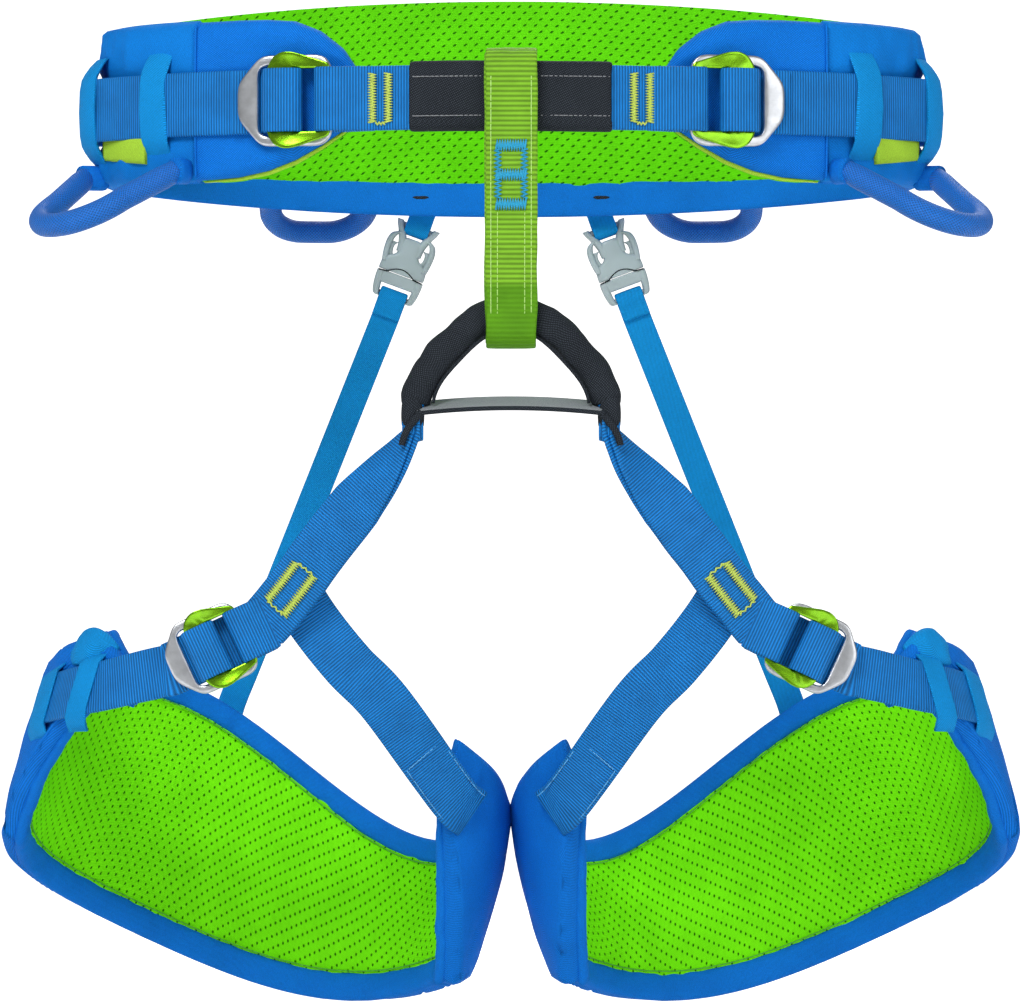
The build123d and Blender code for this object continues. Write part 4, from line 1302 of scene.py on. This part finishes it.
def moulded_bar(seat, edge, stations, count, width, depth, sides, power):
    """A bar along (along, across) stations; its width may vary with the share of the way."""
    path = smooth_path([seat.at(s, edge * x, 0) for s, x in stations], count)
    rings = []
    for i, p in enumerate(path):
        half = width(i / (count - 1)) if callable(width) else width
        rings.append([p + seat.across * (r * half) + seat.back * (o * depth)
                      for o, r in oval(1, 1, sides, power=power)])
    return skin(rings)


def riser_clip(name, side):
    seat = ClipSeat(side)
    # Horned yoke that holds the top bar, and the socket's shell with a window each side
    horn = ((-0.6, 8.9), (1.6, 8.1), (4.2, 6.6), (7.2, 5.2), (10, 4.2), (14, 3.6))
    rail = ((5.0, 6.4), (6.6, 9.0), (9.4, 10.2), (13, 10.4), (17, 10.0), (20, 9.4))
    parts = []
    for edge in (-1, 1):
        parts.append(moulded_bar(seat, edge, horn, 24, lambda t: 1.5 + 0.9 * t, 3.2, 14, 2.8))
        parts.append(moulded_bar(seat, edge, rail, 26, 1.5, 3.4, 12, 3))
    bar = [seat.at(1.4, x, 0) for x in spread(-8.2, 8.2, 12)]
    parts.append(skin(tube_rings(bar, 1.5, 12)))
    shell = ((6.6, 2.6, 2.6), (7.6, 4.6, 3.3), (11, 5.0, 3.7), (15.0, 5.6, 3.8), (17.3, 9.4, 3.8),
             (19, 10.6, 3.8), (22, 11.0, 3.8), (23.9, 10.9, 3.6), (24.1, 10.2, 2.8))
    parts.append(clip_body(seat, eased(shell, 60)))
    add_piece(f"clip_shell_{name}", joined(parts), plastic_grey, "waist_belt",
              f"riser_clip_socket_{name}")
    leg = ((24.7, 9.2), (28, 9.3), (32, 9.0), (35.4, 8.2), (36.3, 7.0))
    plug = [moulded_bar(seat, edge, leg, 24, lambda t: 2.0 - 0.5 * t, 3.6, 14, 3)
            for edge in (-1, 1)]
    collar = ((24.4, 10.2, 3.2), (24.6, 10.8, 3.7), (26.2, 10.7, 3.7), (29.4, 10.0, 3.4),
              (30.0, 9.0, 2.6))
    plug.append(clip_body(seat, eased(collar, 16)))
    plug.append(skin(tube_rings([seat.at(34.9, x, 0) for x in spread(-8, 8, 10)], 1.4, 12)))
    add_piece(f"clip_plug_body_{name}", joined(plug), plastic_grey, "waist_belt",
              f"riser_clip_plug_{name}")
    arm = ((10.2, 7.4), (11.6, 8.6), (13.4, 8.9), (15.2, 8.6), (18, 7.4), (23.4, 7.2))
    for edge_name, edge in (("inner", side), ("outer", -side)):
        prong = f"clip_prong_{name}_{edge_name}"
        add_piece(f"clip_arm_{name}_{edge_name}",
                  moulded_bar(seat, edge, arm, 30, 1.35, 1.5, 12, 3), plastic_grey, prong, prong)
    # Wavy parting line between the two halves, on the front and back faces
    lines = []
    for face in (-1, 1):
        line = [seat.at(24.2 - 2.6 * max(0.0, 1 - (x / 6.5) ** 2) + 0.6 * (abs(x) / 11) ** 2, x,
                        face * (3.78 - 0.2 * (x / 10) ** 4)) for x in spread(-10.6, 10.6, 40)]
        lines.append(skin(tube_rings(line, 0.28, 6)))
    add_piece(f"clip_parting_{name}", joined(lines), cloth_grey, "waist_belt")
    loop = [seat.at(s, 0, o) for s, o in
            ((-19, 0.4), (-12, 1.0), (-5, 2.0), (-0.5, 3.0), (3.2, 2.8), (5.0, 0.6),
             (3.6, -2.4), (0.5, -3.0), (-5, -1.9), (-12, -1.2), (-19, -0.6))]
    loop = smooth_path(loop, 80)
    add_piece(f"riser_anchor_web_{name}",
              skin(strap_rings(loop, [seat.across] * 80, 11.4, 1.1, 8), middle=4), elastic_blue,
              "waist_belt", f"riser_anchor_{name}")


def riser_strap(name, side):
    """Elastic from the clip's lower bar to the back of the leg pad."""
    seat, point = ClipSeat(side), surface(leg_point, side)
    end, low = point(RISER_ANGLE, 61, 7.6), point(RISER_ANGLE, 35, 5.8)
    free = [seat.at(s, 0, o) for s, o in ((45, -0.9), (40, -1.6), (37, -2.6), (34.6, -2.8),
                                          (32.4, -1.4), (32.6, 1.6), (34.8, 2.7), (37.4, 2.2),
                                          (41, 1.0), (46, 0.5))]
    start = free[-1]
    free += [start.lerp(end, t) + Vector((0, 0.8 * sin(pi * t), 0)) for t in spread(0.1, 1, 12)]
    path = smooth_path(free + [point(RISER_ANGLE, 50, 6.8), low], 240)
    across = seat.across if seat.across.z > 0 else seat.across * -1
    outward = point(RISER_ANGLE, 50, 1) - point(RISER_ANGLE, 50, 0)
    lean = mirrored(LEG_LEAN, side).cross(outward).normalized()
    if lean.dot(across) < 0:
        lean = lean * -1
    ups = [across.lerp(lean, max(0.0, min(1.0, (i / 239 - 0.55) / 0.4))).normalized()
           for i in range(240)]
    rings = strap_rings(path, ups, RISER_WIDTH, 1.5, 8, 0.1)
    strap = add_piece(f"riser_elastic_{name}", skin(rings, middle=4), elastic_blue, None,
                      f"riser_strap_{name}")
    seat.at(42, 0, 0) * MM
    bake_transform(strap)
    tack = [point(RISER_ANGLE + t, 56, 8.4) for t in (-4, -2, 0, 2, 4)]
    add_piece(f"riser_stitch_{name}", skin(tube_rings(tack, 0.3, 5)), thread_blue, f"leg_{name}")


# ---------------------------------------------------------------- gear loops

def gear_loop(label, side, first_angle, last_angle, height, reach, drop):
    first = mirrored(belt_point(first_angle, height, GEAR_OFFSET), side)
    last = mirrored(belt_point(last_angle, height, GEAR_OFFSET), side)
    span = last - first
    outward = mirrored(belt_normal(first_angle) + belt_normal(last_angle), side)
    outward = (outward - span * (outward.dot(span) / span.dot(span))).normalized()
    fall = outward * cos(radians(drop)) - UP * sin(radians(drop))
    along, width = span.normalized(), span.length
    reach -= 4
    r = min(reach * 0.5, width * 0.34)
    taper = 0.14 * width
    route = [first + along * (taper * t) + fall * ((reach - r) * t) for t in spread(0, 0.95, 5)]
    route += [first + along * (taper + r - r * cos(t)) + fall * (reach - r + r * sin(t))
              for t in spread(0.1, pi / 2, 7)]
    route += [last - along * (taper + r - r * cos(t)) + fall * (reach - r + r * sin(t))
              for t in spread(pi / 2, 0.1, 7)]
    route += [last - along * (taper * t) + fall * ((reach - r) * t) for t in spread(0.95, 0, 5)]
    route = [p - UP * 1.5 * sin(pi * i / (len(route) - 1)) for i, p in enumerate(route)]
    path = smooth_path(route, 150)
    add_piece(f"{label}_cord",
              skin(tube_rings(path, lambda t: (GEAR_TUBE_RADIUS
                                               - 0.5 * max(0, 1 - min(t, 1 - t) / 0.05)), 24)),
              cord_blue, label, label)
    cuffs = []
    for end, angle in ((first, first_angle), (last, last_angle)):
        inward = (mirrored(belt_point(angle, height), side) - end).normalized()
        cuffs.append(skin([[end + inward * d + UP * r + along * o for o, r in oval(5.4, 5.6, 16)]
                           for d in (-1.5, 1.5, 4, 7.5)]))
    add_piece(f"{label}_cuffs", joined(cuffs), edge_blue, "waist_belt")


# ---------------------------------------------------------------- the whole harness

waist_pad()
waist_lining()
waist_seams()
waist_webbing()
tie_in()
tie_in_sleeve()
belay_loop()
bridge()
for side_name, side_sign in SIDES.items():
    belt_wing(side_name, side_sign)
    webbing_keepers(side_name, side_sign)
    buckle("waist", side_name, waist_seat(side_sign), "waist_belt", f"waist_slider_{side_name}")
    buckle("leg", side_name, leg_seat(side_sign), f"leg_{side_name}", f"leg_slider_{side_name}")
    webbing_wrap(f"waist_wrap_{side_name}", waist_seat(side_sign), 27.4,
                 (-25, 2.0))
    webbing_wrap(f"leg_wrap_{side_name}", leg_seat(side_sign), 22.8,
                 (-21, 1.4))
    leg_pad(side_name, side_sign)
    front_strap(side_name, side_sign)
    adjuster_strap(side_name, side_sign)
    crotch_strap(side_name, side_sign)
    riser_clip(side_name, side_sign)
    riser_strap(side_name, side_sign)
    gear_loop(f"gear_loop_front_{side_name}", side_sign, -38.5, -6, -29, 52, 28)
    gear_loop(f"gear_loop_rear_{side_name}", side_sign, 50.7, 72.5, -24, 38, 38)
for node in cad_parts.values():
    if not node.hide_render:
        node.data.materials.clear()
        node.data.materials.append(foam_grey)

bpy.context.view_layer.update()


# ---------------------------------------------------------------- studio

FLOOR_Z, FLOOR_RADIUS = -0.48, 1.5
WALL_RADIUS, WALL_HEIGHT = 5, 20


def staged(name, bm, material):
    mesh = bpy.data.meshes.new(name)
    bm.to_mesh(mesh)
    bm.free()
    mesh.materials.append(material)
    item = bpy.data.objects.new(name, mesh)
    bpy.context.scene.collection.objects.link(item)
    return item


def studio():
    # Pale floor whose outer part glows, brightening outwards into the white wall; this glow is
    # painted light, and it also lights the harness a little from below
    paper = Finish("pale studio paper", 0.9, Emission_Strength=1.0)
    tone = paper.noise(3.0, 2.0)
    paper.colour(paper.ramp(tone, (0.3, (0.93, 0.93, 0.93)), (0.7, (0.96, 0.96, 0.96))))
    distance = paper.node("ShaderNodeVectorMath", {"operation": "LENGTH"}, _0=paper.place())
    paper.feed(paper.shader.inputs["Emission Color"],
               paper.ramp(distance.outputs["Value"], (0.5, (0, 0, 0)), (1.0, (1, 1, 1))))
    bm = bmesh.new()
    bmesh.ops.create_circle(bm, cap_ends=True, segments=96, radius=FLOOR_RADIUS)
    staged("floor", bm, paper.material).location.z = FLOOR_Z
    # White wall all round, which lights nothing
    glow = Finish("white backdrop", 0.9, Emission_Strength=1.0)
    glow.feed(glow.shader.inputs["Emission Color"],
              glow.ramp(glow.noise(1.0, 1.0), (0.0, (0.99, 0.99, 0.99)), (1.0, (1.0, 1.0, 1.0))))
    bm = bmesh.new()
    bmesh.ops.create_cone(bm, cap_ends=False, segments=96, radius1=WALL_RADIUS,
                          radius2=WALL_RADIUS, depth=WALL_HEIGHT)
    wall = staged("backdrop", bm, glow.material)
    wall.visible_diffuse = wall.visible_glossy = wall.visible_shadow = False
    world = bpy.context.scene.world or bpy.data.worlds.new("studio")
    bpy.context.scene.world = world
    world.use_nodes = True
    world.node_tree.nodes["Background"].inputs["Color"].default_value = (1, 1, 1, 1)
    world.node_tree.nodes["Background"].inputs["Strength"].default_value = 0.3
    for name, place, aim, size, power in (
            ("key", (-0.9, -1.9, 1.7), (0, 0, -0.15), 1.1, 48),
            ("fill", (1.6, -1.8, 0.4), (0, 0, -0.2), 1.5, 14),
            ("back", (0.3, 1.8, 1.6), (0, 0, -0.1), 1.4, 20)):
        data = bpy.data.lights.new(name, "AREA")
        data.size, data.energy = size, power
        light = bpy.data.objects.new(name, data)
        light.location = place
        light.rotation_euler = (Vector(aim) - Vector(place)).to_track_quat("-Z", "Y").to_euler()
        bpy.context.scene.collection.objects.link(light)
    bpy.context.scene.view_settings.view_transform = "Standard"
    lens = bpy.data.cameras.new("camera")
    lens.lens, lens.sensor_width = 163.5, 36
    camera = bpy.data.objects.new("camera", lens)
    camera.location = (0.0004, -2.080, -0.174)
    camera.rotation_euler = (radians(90), 0, 0)
    bpy.context.scene.collection.objects.link(camera)
    bpy.context.scene.camera = camera


studio()
